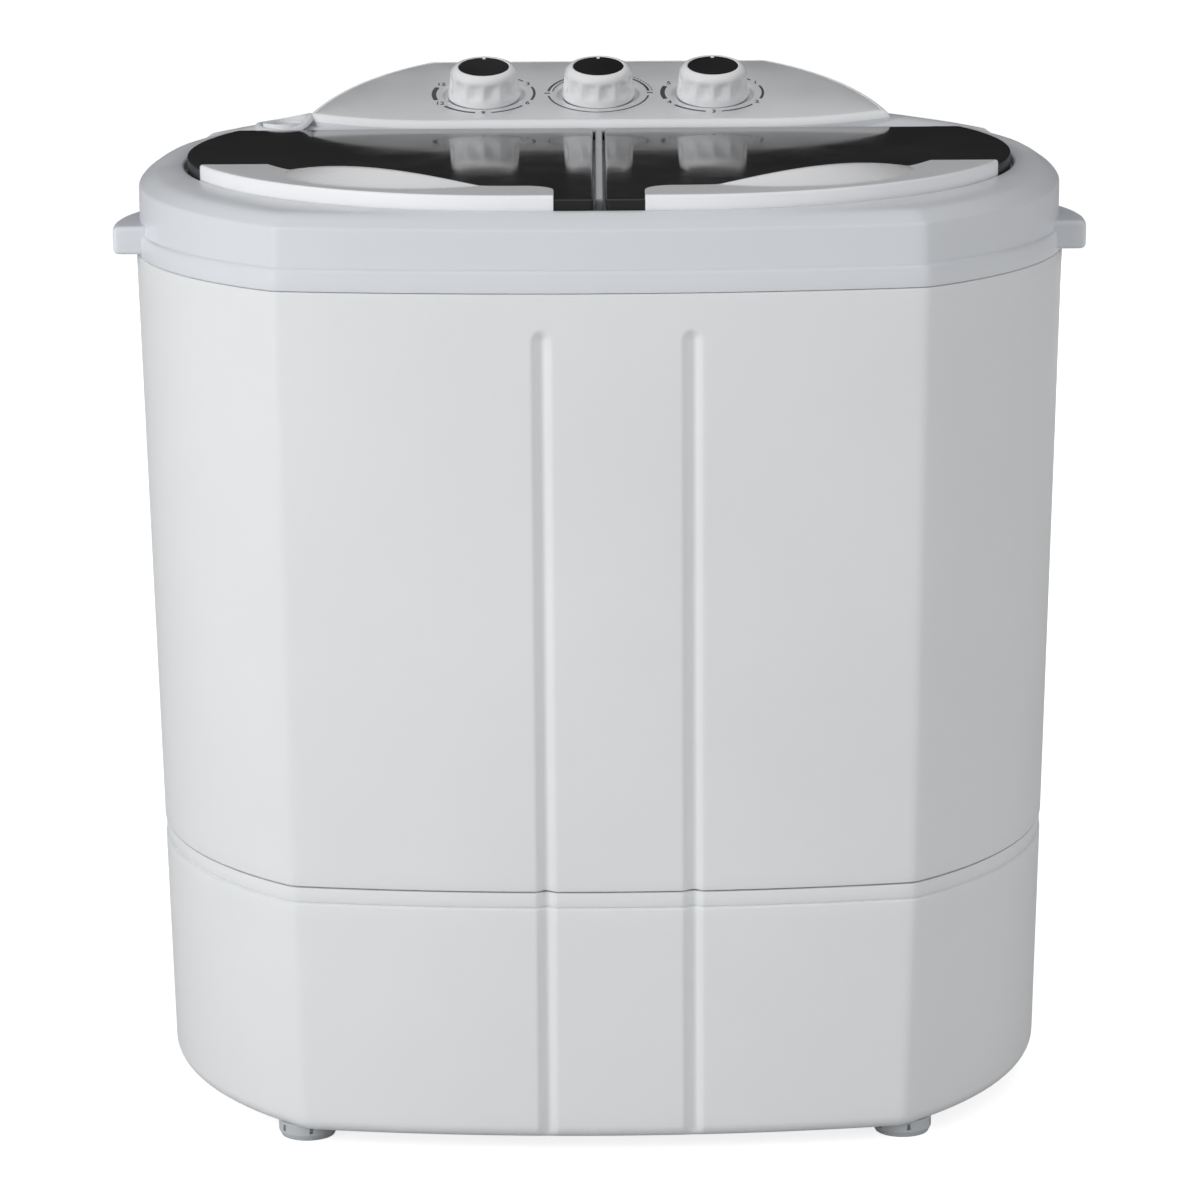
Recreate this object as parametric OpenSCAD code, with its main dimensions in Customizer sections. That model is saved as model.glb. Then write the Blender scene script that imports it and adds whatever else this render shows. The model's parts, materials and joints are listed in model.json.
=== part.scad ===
// Portable mini washer: compact twin-tub machine with a wash tub and a spin tub side by side.
// Millimetres, +Z up, the front faces -Y, the origin is on the floor under the bounding box centre.

/* [Body shell] */
// radius of the two side arcs in plan, at the rim's lower edge
side_r_top = 226.5; // [224:0.5:229]
// how much that radius shrinks per millimetre of height going down
side_draft = 0.0265; // [0.02:0.0005:0.03]
// distance of each side arc's centre from the middle plane
side_cx = 20.5; // [18:0.5:23]
// radius of the shallow front arc
front_r = 887; // [850:1:930]
// front of the rim's lower edge, distance ahead of the origin
front_top = 190; // [189:0.5:191]
// front of the base at the seam
front_seam = 182.6; // [181:0.2:184]
// front of the base at its bottom edge
front_bottom = 181.4; // [180:0.2:182]
// flat rear face, distance behind the origin
rear_y = 190; // [189:0.5:191]
// shell wall thickness
wall = 2.5; // [2:0.1:3]
// underside of the base above the floor
base_z = 9; // [7:0.5:11]
// upper end of the base wall
seam_z = 134.2; // [130:0.2:138]
// lower edge of the cabinet, above the inset band
cabinet_z = 143.4; // [141:0.2:146]
// depth of the inset band at the seam
band_inset = 1.8; // [1:0.1:2.5]
// upper edge of the cabinet, where the top frame starts
rim_z = 454; // [450:1:457]

/* [Front grooves] */
// left groove's centre
groove_left_x = -29.5; // [-34:0.5:-25]
// right groove's centre
groove_right_x = 46; // [42:0.5:50]
// groove width
groove_w = 10; // [8:0.5:12]
// groove depth
groove_depth = 3; // [2:0.1:3.4]
// height of the groove's rounded top end
groove_top_z = 435.5; // [425:0.5:440]

/* [Top frame] */
// upper edge of the frame's lower band
ledge_z = 465.6; // [463:0.2:468]
// how far the wall above that band steps in
ledge_step = 1.5; // [1:0.1:2]
// slope of the lids and the deck, degrees up toward the rear
lid_tilt = 1.36; // [1.2:0.02:1.5]
// height of the lids' top plane at y = 0
lid_plane_z = 502.47; // [501.5:0.1:503.5]
// depth of the deck below the lids' top plane
deck_depth = 10; // [9.8:0.1:10.5]
// depth of the rim's crest below the lids' top plane
crest_depth = 5; // [4.5:0.1:5.5]
// radius of the lid recess's rounded ends
recess_r = 182; // [181.5:0.1:182.5]
// distance of each rounded end's centre from the middle plane
recess_cx = 41; // [40:0.5:42]
// y of those centres
recess_cy = 11; // [10:0.5:12]
// rear line of the lid recess
recess_rear = 97; // [96.8:0.1:97.2]
// side handle thickness
handle_h = 15; // [13:0.5:17]
// side handle underside
handle_z = 456; // [455:0.5:458]
// half of the width over the handles
handle_x = 260; // [258:0.5:262]
// front end of the handle
handle_front = -55; // [-58:1:-50]

/* [Lids] */
// clearance between the lid and the recess wall
lid_gap = 1.4; // [1.2:0.1:1.6]
// distance of each lid's inner edge from the middle plane
lid_inner_x = 3.2; // [3:0.1:3.6]
// lid plate thickness
lid_t = 3; // [2.5:0.1:3.2]
// lid skirt depth below its top plane
lid_skirt = 9.5; // [9:0.1:9.6]
// rear edge of the lid
lid_rear = 94; // [93.5:0.1:94.2]
// y of the hinge axis
hinge_y = 91; // [90.8:0.1:91.2]
// depth of the hinge axis below the lid's top plane
hinge_depth = 4; // [3.8:0.1:4.2]
// hinge pin radius
hinge_pin_r = 2.4; // [2:0.1:2.6]
// hinge running clearance
hinge_clear = 0.06; // [0.02:0.01:0.1]
// width of the pale trim band along the lid's front arc
trim_w = 33; // [30:0.5:35]
// height of the trim above the lid's top plane
trim_h = 2.5; // [2:0.1:3]
// rise of the leaf-shaped finger grip above the trim
grip_h = 7; // [5:0.5:8]
// direction of the grip's middle, degrees off straight ahead
grip_angle = 32.5; // [30:0.5:35]

/* [Control panel] */
// slope of the panel face
panel_tilt = 16; // [15.5:0.1:16.5]
// y of the panel's front edge
panel_front = 98.6; // [98.4:0.1:99]
// height of the panel's front edge
panel_z = 507.5; // [506.5:0.1:508.5]
// radius of the panel's rounded ends
panel_r = 134; // [132:0.5:135]
// distance of each rounded end's centre from the middle plane
panel_cx = 34; // [33:0.5:35]
// y of those centres
panel_cy = 70; // [69:0.5:71]
// spacing of the three knobs
knob_pitch = 64.6; // [63:0.2:66]
// y of the knobs' centres on the panel
knob_y = 140; // [138:0.5:142]
// knob radius at its foot
knob_r = 20.15; // [19:0.05:20.5]
// knob height above the panel face
knob_h = 16.5; // [15.5:0.1:17]
// radius of the black disc on the knob
cap_r = 14.15; // [13.5:0.05:14.5]
// radius of the dished recess round each knob
dish_r = 23; // [22.5:0.1:24]
// radius of a control shaft
control_shaft_r = 3; // [2.8:0.1:3.2]
// number of soft flutes round a knob
flutes = 12; // [10:1:14]

/* [Wash side] */
// wash tub centre, x
wash_x = -113; // [-114:0.5:-112]
// wash tub centre, y
wash_y = -28; // [-29:0.5:-27]
// half of the tub's straight side
wash_half = 32; // [30:0.5:33]
// tub outer radius
wash_r = 100; // [98:0.5:101]
// underside of the tub floor
tub_z = 150; // [148:0.5:152]
// pulsator radius
pulsator_r = 72; // [60:0.5:78]
// pulsator shaft radius
wash_shaft_r = 7; // [6:0.1:8]
// wash pulley radius at the belt
pulley_r = 55; // [50:0.5:58]
// motor pulley radius at the belt
motor_pulley_r = 12.5; // [11:0.1:14]
// wash motor axis, x
wash_motor_x = -20; // [-22:0.5:-18]
// wash motor axis, y
wash_motor_y = 105; // [103:0.5:107]
// wash motor can radius
wash_motor_r = 42; // [38:0.5:44]

/* [Spin side] */
// spin tub centre, x
spin_x = 112; // [111:0.5:113]
// spin tub centre, y
spin_y = -18; // [-20:0.5:-16]
// outer tub radius
spin_tub_r = 97.5; // [96:0.5:98]
// spin basket radius
basket_r = 84; // [80:0.5:86]
// underside of the basket
basket_z = 178; // [176:0.5:182]
// top of the basket
basket_top = 440; // [420:1:450]
// spin shaft radius
spin_shaft_r = 8; // [7:0.1:8.5]
// brake drum radius
drum_r = 30; // [28:0.5:31]
// spin motor can radius
spin_motor_r = 48; // [44:0.5:50]
// gap between the brake pad and the drum while the lid is shut
brake_gap = 2.2; // [2:0.1:2.5]

/* [Feet and drain] */
// foot radius
foot_r = 15.5; // [13:0.5:16]
// front feet, distance from the middle plane
foot_front_x = 157; // [150:1:158]
// front feet, distance ahead of the origin
foot_front_y = 140; // [135:1:141]
// rear feet, distance from the middle plane
foot_rear_x = 120; // [112:1:125]
// rear feet, distance behind the origin
foot_rear_y = 158; // [150:1:162]
// drain valve centre, x
drain_x = -105; // [-106:0.5:-104]
// drain valve centre, y
drain_y = 78; // [77:0.5:79]
// bore radius of the drain outlet
drain_bore_r = 12.5; // [12:0.1:13]
// height of the drain outlet
drain_z = 112; // [110:0.5:114]
// bore radius of the cord gland
gland_bore_r = 3.6; // [3:0.1:4]

/* [Hidden] */
eps = 0.01;
big = 700;
joint_gap = 0.3;
side_cy = 2;
side_fn = 96;
front_fn = 360;

function side_r(z) = side_r_top - side_draft * (rim_z - z);
function front_hi(z) = front_seam + (front_top - front_seam) * (z - seam_z) / (rim_z - seam_z);
function front_lo(z) = front_bottom + (front_seam - front_bottom) * (z - base_z) / (seam_z - base_z);

white = [0.90, 0.91, 0.92];
silver = [0.74, 0.75, 0.76];
black = [0.05, 0.05, 0.05];
grey = [0.45, 0.46, 0.47];
steel = [0.66, 0.67, 0.68];
rubber = [0.13, 0.13, 0.13];
pale_blue = [0.70, 0.78, 0.85];

// ---- shared shapes ----

// Body section between two heights: two side cones and a middle block, cut by the front cone and the rear.
module shell(z0, z1, r0, r1, f0, f1, back) {
    h = z1 - z0;
    intersection() {
        union() {
            for (s = [-1, 1])
                translate([s * side_cx, side_cy, z0])
                    cylinder(r1 = r0, r2 = r1, h = h, $fn = side_fn);
            translate([-side_cx, -big / 2, z0])
                cube([2 * side_cx, big, h]);
        }
        translate([0, front_r - f0, z0])
            cylinder(r1 = front_r, r2 = front_r + f1 - f0, h = h, $fn = front_fn);
        translate([-big / 2, -big / 2, z0])
            cube([big, big / 2 + back, h]);
    }
}

// Shell section that follows the body's own taper, inset by d.
module body(z0, z1, d) {
    shell(z0, z1, side_r(z0) - d, side_r(z1) - d, front_hi(z0) - d, front_hi(z1) - d, rear_y - d);
}

// Short locating ring with upright walls, t thick, d inside the outline at height z.
module locating_ring(z, z0, z1, d, t) {
    r = side_r(z) - d;
    f = front_hi(z) - d;
    difference() {
        shell(z0, z1, r, r, f, f, rear_y - d);
        shell(z0 - 1, z1 + 1, r - t, r - t, f - t, f - t, rear_y - d - t);
    }
}

module base_body(z0, z1, d0, d1) {
    shell(z0, z1, side_r(z0) - d0, side_r(z1) - d1, front_lo(z0) - d0, front_lo(z1) - d1,
        rear_y - min(d0, d1));
}

// Frame of the lids: z = 0 is their top plane.
module lid_frame() {
    translate([0, 0, lid_plane_z])
        rotate([lid_tilt, 0, 0])
            children();
}

// Half space below a depth in the lid frame.
module below_lid_plane(depth) {
    lid_frame()
        translate([-big / 2, -big / 2, -big - depth])
            cube([big, big, big]);
}

// Frame of the control panel: z = 0 is its face, the origin at the knobs' line.
panel_origin_z = panel_z + (knob_y - panel_front) * tan(panel_tilt);

module panel_frame() {
    translate([0, knob_y, panel_origin_z])
        rotate([panel_tilt, 0, 0])
            children();
}

// Recess outline: two round ends and a middle block, cut by the rear line.
module recess(r, back, z0, z1) {
    intersection() {
        union() {
            for (s = [-1, 1])
                translate([s * recess_cx, recess_cy, z0])
                    cylinder(r = r, h = z1 - z0, $fn = side_fn);
            translate([-recess_cx, recess_cy - r, z0])
                cube([2 * recess_cx, r + big / 2, z1 - z0]);
        }
        translate([-big / 2, -big / 2, z0])
            cube([big, big / 2 + back, z1 - z0]);
    }
}

module rod(r, z0, z1, n = 32) {
    translate([0, 0, z0])
        cylinder(r = r, h = z1 - z0, $fn = n);
}

module ring(ro, ri, z0, z1, n = 48) {
    difference() {
        rod(ro, z0, z1, n);
        rod(ri, z0 - 1, z1 + 1, n);
    }
}

// ---- base and feet ----
base_wall = 3;
base_side = 4.4;
base_edge = 8;
flange_h = 6;
flange_t = 3;
foot_neck_r = 5;
vent_w = 6;
vent_l = 70;
backing_w = groove_w + 5;
backing_t = 8.5;

// The two grooves, sunk into a front face that runs from f_lo at height z_lo to f_hi at z_hi.
module front_grooves(z_lo, f_lo, z_hi, f_hi, z0, z1, round_top) {
    rr = (groove_w * groove_w / 4 + groove_depth * groove_depth) / (2 * groove_depth);
    slope = atan((f_hi - f_lo) / (z_hi - z_lo));
    for (gx = [groove_left_x, groove_right_x]) {
        arc_drop = gx * gx / (2 * front_r);
        translate([gx, -f_lo + arc_drop - rr + groove_depth, z_lo])
            rotate([slope, 0, 0]) {
                rod(rr, z0 - z_lo, z1 - z_lo, 32);
                if (round_top)
                    translate([0, 0, z1 - z_lo])
                        sphere(r = rr, $fn = 32);
            }
    }
}

module groove_backing(z0, z1) {
    for (gx = [groove_left_x, groove_right_x])
        intersection() {
            translate([gx - backing_w / 2, -big / 2, z0])
                cube([backing_w, big / 2 - front_hi(z0) + backing_t, z1 - z0]);
            body(z0, z1, 1);
        }
}

module base_housing() color(white)
    difference() {
        union() {
            difference() {
                union() {
                    base_body(base_z, base_z + base_edge, base_edge, 0);
                    base_body(base_z + base_edge, seam_z, 0, 0);
                    body(seam_z, cabinet_z, band_inset);
                }
                base_body(base_z + base_wall, cabinet_z + 5, base_side + 3, base_side);
            }
            difference() {
                locating_ring(cabinet_z, cabinet_z - 5, cabinet_z + flange_h, wall + joint_gap, flange_t);
                for (gx = [groove_left_x, groove_right_x])
                    translate([gx - backing_w / 2 - 1, -big / 2, cabinet_z - 1])
                        cube([backing_w + 2, big / 2 - front_seam + backing_t + 3, flange_h + 5]);
            }
            intersection() {
                for (gx = [groove_left_x, groove_right_x])
                    translate([gx - groove_w / 2 - 3, -big / 2, base_z + base_wall])
                        cube([groove_w + 6, big / 2 - front_bottom + 9, seam_z - base_z - base_wall + 3]);
                base_body(base_z, seam_z, 1, 1);
            }
        }
        front_grooves(base_z, front_bottom, seam_z, front_seam, base_z + 5, cabinet_z + 4, false);
        for (s = [-1, 1]) {
            translate([s * foot_front_x, -foot_front_y, 0])
                rod(foot_neck_r + 0.1, base_z - 1, base_z + 6);
            translate([s * foot_rear_x, foot_rear_y, 0])
                rod(foot_neck_r + 0.1, base_z - 1, base_z + 6);
        }
        for (vx = [wash_motor_x, spin_x])
            for (i = [-2:2])
                translate([vx + i * 2.4 * vent_w - vent_w / 2, -30 - vent_l / 2, base_z - 1])
                    cube([vent_w, vent_l, base_wall + 2]);
        translate([drain_x, rear_y, drain_z])
            rotate([90, 0, 0])
                rod(drain_outer_r + 3.1, -1, 12, 48);
        translate([gland_x, rear_y, gland_z])
            rotate([90, 0, 0])
                rod(gland_r + 0.1, -1, 12);
    }

module feet() color(grey)
    for (s = [-1, 1], rear = [0, 1])
        translate([s * (rear ? foot_rear_x : foot_front_x), rear ? foot_rear_y : -foot_front_y, 0])
            difference() {
                rotate_extrude($fn = 48)
                    polygon([[0, 0], [foot_r - 1.5, 0], [foot_r, 3], [foot_r, base_z],
                        [foot_neck_r, base_z], [foot_neck_r, base_z + 5], [0, base_z + 5]]);
                for (a = [0:60:300])
                    rotate([0, 0, a + 40])
                        translate([foot_r - 1.5, -1, 4])
                            cube([5, 2, base_z - 5.5]);
            }

// ---- cabinet and rear cover ----
cover_w = 220;
cover_h = 230;
cover_z = 180;
cover_t = 2;
cover_margin = 12;
cover_clear = 0.3;
cover_screw_r = 2;

module cover_screw_places() {
    for (sx = [-1, 1], i = [0:2])
        translate([sx * (cover_w / 2 + cover_margin / 2), rear_y, cover_z + 8 + i * (cover_h - 16) / 2])
            rotate([90, 0, 0])
                children();
}

module cabinet() color(white)
    difference() {
        union() {
            difference() {
                body(cabinet_z, rim_z, 0);
                body(cabinet_z - 1, rim_z + 1, wall);
            }
            groove_backing(cabinet_z, groove_top_z + 4);
            translate([-cover_w / 2 - cover_margin - 4, rear_y - 8, cover_z - cover_margin - 4])
                cube([cover_w + 2 * cover_margin + 8, 7, cover_h + 2 * cover_margin + 8]);
        }
        front_grooves(seam_z, front_seam, rim_z, front_top,
                      cabinet_z - 3, groove_top_z - groove_w / 2, true);
        translate([-cover_w / 2, rear_y - 20, cover_z])
            cube([cover_w, 40, cover_h]);
        translate([-cover_w / 2 - cover_margin, rear_y - cover_t - cover_clear, cover_z - cover_margin])
            cube([cover_w + 2 * cover_margin, 10, cover_h + 2 * cover_margin]);
        cover_screw_places()
            rod(cover_screw_r + 0.05, -1, 7.5, 16);
    }

module rear_service_cover() color(white)
    difference() {
        translate([-cover_w / 2 - cover_margin + cover_clear, rear_y - cover_t - cover_clear,
            cover_z - cover_margin + cover_clear])
            cube([cover_w + 2 * (cover_margin - cover_clear), cover_t,
                cover_h + 2 * (cover_margin - cover_clear)]);
        for (i = [0:7])
            translate([-55, rear_y - 20, cover_z + 40 + i * 12])
                cube([110, 40, 4]);
        cover_screw_places() {
            rod(cover_screw_r + 0.3, -1, 5, 16);
            rod(4.2, -1, cover_clear + 1.2, 24);
        }
    }

module rear_cover_screws() color(steel)
    cover_screw_places()
        difference() {
            union() {
                rod(4, cover_clear, cover_clear + 1.2, 24);
                rod(cover_screw_r, cover_clear + 1, 7, 16);
            }
            for (a = [0, 90])
                rotate([0, 0, a])
                    translate([-2.5, -0.5, 0])
                        cube([5, 1, cover_clear + 0.7]);
        }

// ---- top frame ----
rim_shell = 3;
deck_t = 2.5;
hinge_rib = 2;
hole_inset = 12;
spin_hole_r = 85;
inlet_x = -176;
inlet_y = 113;
inlet_r = 12;
inlet_top = 507;
crown_lo = 486;
crown_mid = 492;
crown_hi = 504;
hollow_step_z = 488;
handle_arc_r = 150;
handle_arc_y = -36;
service_w = 206;
service_y0 = 108;
service_y1 = 178;

module rim_solid() {
    r1 = side_r_top - ledge_step;
    f1 = front_top - ledge_step;
    shell(rim_z, ledge_z, side_r_top, side_r_top, front_top, front_top, rear_y);
    shell(ledge_z, crown_lo, r1, r1 + 0.3, f1, f1 + 0.3, rear_y);
    shell(crown_lo, crown_mid, r1 + 0.3, r1 - 3, f1 + 0.3, f1 - 3, rear_y);
    shell(crown_mid, crown_hi, r1 - 3, r1 - 17, f1 - 3, f1 - 17, rear_y);
}

// Space inside the frame: straight walls up to the crown, and a smaller core under the crown.
module rim_hollow() {
    r = side_r_top - ledge_step - rim_shell;
    f = front_top - ledge_step - rim_shell;
    shell(rim_z - 1, hollow_step_z, r, r, f, f, rear_y - rim_shell);
    shell(hollow_step_z - 1, crown_hi - 4, r - 10, r - 10, f - 27, f - 27, rear_y - 2 * rim_shell);
}

module handles() {
    for (m = [0, 1])
        mirror([m, 0, 0])
            difference() {
                intersection() {
                    translate([228, handle_front, handle_z])
                        cube([40, 90, handle_h]);
                    translate([handle_x - handle_arc_r, handle_arc_y, handle_z])
                        cylinder(r = handle_arc_r, h = handle_h, $fn = 96);
                }
                shell(rim_z, ledge_z + 10, side_r_top - 2, side_r_top - 2, front_top, front_top, rear_y);
            }
}

module wash_hole(inset) {
    intersection() {
        lid_frame()
            recess(recess_r - inset, recess_rear - inset, -60, 20);
        wash_stadium(wash_r - tub_wall - 0.5, 440, 540);
    }
}

module hinge_bore(r, x0, x1) {
    lid_frame()
        translate([x0, hinge_y, -hinge_depth])
            rotate([0, 90, 0])
                cylinder(r = r, h = x1 - x0, $fn = 32);
}

module top_frame() color(white)
    difference() {
        union() {
            difference() {
                intersection() {
                    rim_solid();
                    below_lid_plane(crest_depth);
                }
                difference() {
                    intersection() {
                        rim_hollow();
                        below_lid_plane(crest_depth + 3.5);
                    }
                    lid_frame()
                        recess(recess_r + 2.5, recess_rear + 1.5, -deck_depth - deck_t, 10);
                }
            }
            locating_ring(rim_z - 8, rim_z - 8, rim_z + 4, wall + joint_gap, flange_t);
            handles();
            translate([inlet_x, inlet_y, 0])
                intersection() {
                    rod(inlet_r + 5, 480, 520);
                    translate([-inlet_x, -inlet_y, 0])
                        below_lid_plane(crest_depth + 1);
                }
        }
        difference() {
            lid_frame()
                recess(recess_r, recess_rear, -deck_depth, 20);
            lid_frame()
                translate([-hinge_rib, recess_cy - recess_r - 5, -30])
                    cube([2 * hinge_rib, 300, 28.5]);
        }
        wash_hole(hole_inset);
        translate([spin_x, spin_y, 0])
            rod(spin_hole_r, 440, 540, 72);
        translate([inlet_x, inlet_y, 0])
            rod(inlet_r + 0.1, 470, 530);
        translate([-service_w / 2, service_y0, 470])
            cube([service_w, service_y1 - service_y0, 60]);
        hinge_bore(hinge_pin_r + hinge_clear, -211, 211);
    }

// ---- control panel ----
panel_wall = 2.5;
fascia_t = 0.8;
fascia_inset = 4;
dish_depth = 2;
tip_r = 220;
tip_x = 90;
panel_screw_x = 60;

module panel_outline(d, z0, z1) {
    intersection() {
        union() {
            for (s = [-1, 1])
                translate([s * panel_cx, panel_cy, z0])
                    cylinder(r = panel_r - d, h = z1 - z0, $fn = 120);
            translate([-panel_cx, panel_cy, z0])
                cube([2 * panel_cx, panel_r - d, z1 - z0]);
        }
        union() {
            for (s = [-1, 1])
                translate([s * tip_x, panel_front + tip_r, z0])
                    cylinder(r = tip_r - d, h = z1 - z0, $fn = 180);
            translate([-tip_x, panel_front + d, z0])
                cube([2 * tip_x, 300, z1 - z0]);
        }
        translate([-big / 2, 0, z0])
            cube([big, rear_y - d, z1 - z0]);
    }
}

module below_panel(depth) {
    panel_frame()
        translate([-big / 2, -big / 2, -big - depth])
            cube([big, big, big]);
}

module above_crest() {
    lid_frame()
        translate([-big / 2, -big / 2, -crest_depth])
            cube([big, big, 200]);
}

module control_places() {
    for (i = [-1:1])
        panel_frame()
            translate([i * knob_pitch, 0, 0])
                children();
}

module panel_housing() color(white)
    difference() {
        intersection() {
            panel_outline(0, 480, 545);
            below_panel(0);
            above_crest();
        }
        intersection() {
            panel_outline(panel_wall, 470, 545);
            below_panel(panel_wall + dish_depth);
        }
        intersection() {
            panel_outline(fascia_inset - 0.1, 470, 545);
            panel_frame()
                translate([-big / 2, -big / 2, -fascia_t - 0.1])
                    cube([big, big, 10]);
        }
        control_places() {
            translate([0, 0, -dish_depth])
                cylinder(r1 = dish_r - 2, r2 = dish_r + 0.2, h = dish_depth + eps, $fn = 48);
            rod(control_shaft_r + 1.5, -20, 20);
        }
        panel_screw_places()
            rod(1.55, -1, 8, 16);
    }

module panel_fascia() color(silver)
    difference() {
        intersection() {
            panel_outline(fascia_inset, 470, 545);
            panel_frame()
                translate([-big / 2, -big / 2, -fascia_t - 0.1])
                    cube([big, big, fascia_t + 0.1]);
        }
        control_places()
            rod(dish_r, -5, 5, 48);
    }

module panel_screw_places() {
    for (s = [-1, 1])
        translate([s * panel_screw_x, rear_y, 515])
            rotate([90, 0, 0])
                children();
}

module panel_screws() color(steel)
    panel_screw_places()
        difference() {
            rod(1.5, 0, 7, 16);
            translate([-1, -0.3, -1])
                cube([2, 0.6, 1.6]);
        }

// ---- timers and knobs ----
switch_gap = 6;
switch_w = 46;
switch_d = 38;
switch_h = 26;
knob_foot = 1.5;
knob_top_r = 15.2;
knob_shoulder_r = 19.1;
knob_bevel = 4.6;
cap_depth = 1.5;
cap_t = 1.4;
skirt_under = panel_wall + dish_depth + switch_gap;

module control_body(w, h, lugs) {
    difference() {
        union() {
            translate([-w / 2, -switch_d / 2, -skirt_under - h])
                cube([w, switch_d, h]);
            rod(7, -skirt_under - 1, -skirt_under + 2.5, 24);
            if (lugs)
                for (s = [-1, 1])
                    translate([s * (w / 2 - 8) - 2.5, -4, -skirt_under - h - 5])
                        cube([5, 8, 5.5]);
        }
        rod(control_shaft_r + 0.06, -skirt_under - h + 8, 0);
    }
}

module wash_timer_body() color(grey)
    panel_frame()
        translate([-knob_pitch, 0, 0])
            control_body(switch_w, switch_h, true);

module selector_switch_body() color(grey)
    panel_frame()
        control_body(switch_w - 8, switch_h - 8, true);

module spin_timer_body() color(grey)
    panel_frame()
        translate([knob_pitch, 0, 0])
            control_body(switch_w, switch_h, true);

module knob() {
    difference() {
        union() {
            translate([0, 0, -knob_foot])
                cylinder(r1 = knob_r, r2 = knob_shoulder_r, h = knob_h + knob_foot - knob_bevel, $fn = 60);
            translate([0, 0, knob_h - knob_bevel])
                cylinder(r1 = knob_shoulder_r, r2 = knob_top_r, h = knob_bevel, $fn = 60);
        }
        for (i = [0:flutes - 1])
            rotate([0, 0, (i + 0.5) * 360 / flutes])
                translate([knob_r + 2.6, 0, 1])
                    rod(4.5, 0, knob_h - knob_bevel - 2.5, 24);
        rod(cap_r + 0.1, knob_h - cap_depth, knob_h + 5, 48);
        difference() {
            rod(15.4, -knob_foot - 1, knob_h - 6, 48);
            rod(6, -knob_foot - 2, knob_h, 24);
        }
        rod(control_shaft_r + 0.02, -knob_foot - 1, knob_h - 4);
        translate([-0.8, cap_r - 0.4, knob_h - 1.2])
            cube([1.6, 6, 3]);
    }
}

module knob_cap() {
    difference() {
        rod(cap_r, knob_h - cap_depth, knob_h - cap_depth + cap_t, 48);
        translate([-0.8, cap_r - 2.6, knob_h - 1])
            cube([1.6, 5, 3]);
    }
}

module control_shaft(h) {
    rod(control_shaft_r, -skirt_under - h + 9, knob_h - 4.2);
}

module wash_knob() color(white)
    panel_frame() translate([-knob_pitch, 0, 0]) knob();

module wash_knob_cap() color(black)
    panel_frame() translate([-knob_pitch, 0, 0]) knob_cap();

module wash_timer_shaft() color(steel)
    panel_frame() translate([-knob_pitch, 0, 0]) control_shaft(switch_h);

module selector_knob() color(white)
    panel_frame() knob();

module selector_knob_cap() color(black)
    panel_frame() knob_cap();

module selector_shaft() color(steel)
    panel_frame() control_shaft(switch_h - 8);

module spin_knob() color(white)
    panel_frame() translate([knob_pitch, 0, 0]) knob();

module spin_knob_cap() color(black)
    panel_frame() translate([knob_pitch, 0, 0]) knob_cap();

module spin_timer_shaft() color(steel)
    panel_frame() translate([knob_pitch, 0, 0]) control_shaft(switch_h);

// ---- lids ----
lid_r = recess_r - lid_gap;
skirt_t = 3.4;
skirt_rear = 80;
trim_lip = 1.8;
lug_len = 12;
lug_r = 3.8;
trim_front_x = 23;
trim_end_y = -55;
leaf_w = 25;
leaf_half_angle = 23.2;
leaf_arc_r = 175;
trim_in_r = lid_r - trim_w;
trim_drop = 5;
corner_r = 15;

// Outline of the left lid between two heights, inset by d.
module lid_outline(d, back, z0, z1) {
    intersection() {
        recess(lid_r - d, back, z0, z1);
        translate([-big / 2, -big / 2, z0])
            cube([big / 2 - lid_inner_x - d, big, z1 - z0]);
    }
}

module lid_plate() {
    x_side = -recess_cx - sqrt(lid_r * lid_r - (hinge_y - recess_cy) * (hinge_y - recess_cy));
    difference() {
        lid_outline(0, lid_rear, -lid_skirt, 0);
        lid_outline(skirt_t, big / 2, -lid_skirt - 1, -lid_t);
        translate([-big / 2, skirt_rear, -lid_skirt - 1])
            cube([big, big / 2, lid_skirt + 1 - lid_t]);
        lid_trim_seat(0.1);
    }
    intersection() {
        for (x0 = [x_side - 3, -lid_inner_x - lug_len])
            translate([x0, hinge_y, -hinge_depth])
                rotate([0, 90, 0])
                    cylinder(r = lug_r, h = lug_len + 3, $fn = 32);
        lid_outline(0, lid_rear + 5, -lid_skirt, -0.5);
    }
    translate([x_side - 6, hinge_y, -hinge_depth])
        rotate([0, 90, 0])
            cylinder(r = hinge_pin_r, h = 8, $fn = 32);
    translate([-lid_inner_x - 2, hinge_y, -hinge_depth])
        rotate([0, 90, 0])
            cylinder(r = hinge_pin_r, h = 2 + lid_inner_x - 0.3, $fn = 32);
}

// Rebate along the lid's front arc for the trim's lip, grown by g.
module lid_trim_seat(g) {
    intersection() {
        difference() {
            recess(lid_r + 2, 0, -trim_drop - g, 5);
            recess(lid_r - trim_lip - g, big / 2, -trim_drop - 1, 6);
        }
        translate([-big / 2, -big / 2, -trim_drop - 2])
            cube([big / 2 - trim_front_x + g, big / 2 + trim_end_y + g, 30]);
    }
}

module lid_trim() {
    back_y = recess_cy - trim_in_r;
    corner_y = back_y - corner_r + 0.3;
    difference() {
        intersection() {
            union() {
                translate([0, 0, -trim_drop])
                    linear_extrude(height = trim_drop + trim_h)
                        polygon(concat(
                            [[-trim_front_x, -big / 2]],
                            [for (a = [0:15:90])
                                [-trim_front_x - corner_r * (1 - cos(a)), corner_y + corner_r * sin(a)]],
                            [[-trim_front_x - corner_r, trim_end_y], [-big / 2, trim_end_y],
                                [-big / 2, -big / 2]]));
                leaf();
            }
            recess(lid_r, 0, -trim_drop - 1, 40);
        }
        recess(trim_in_r, big / 2, -trim_drop - 2, 60);
        recess(lid_r - trim_lip, big / 2, -trim_drop - 3, 0);
    }
}

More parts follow.
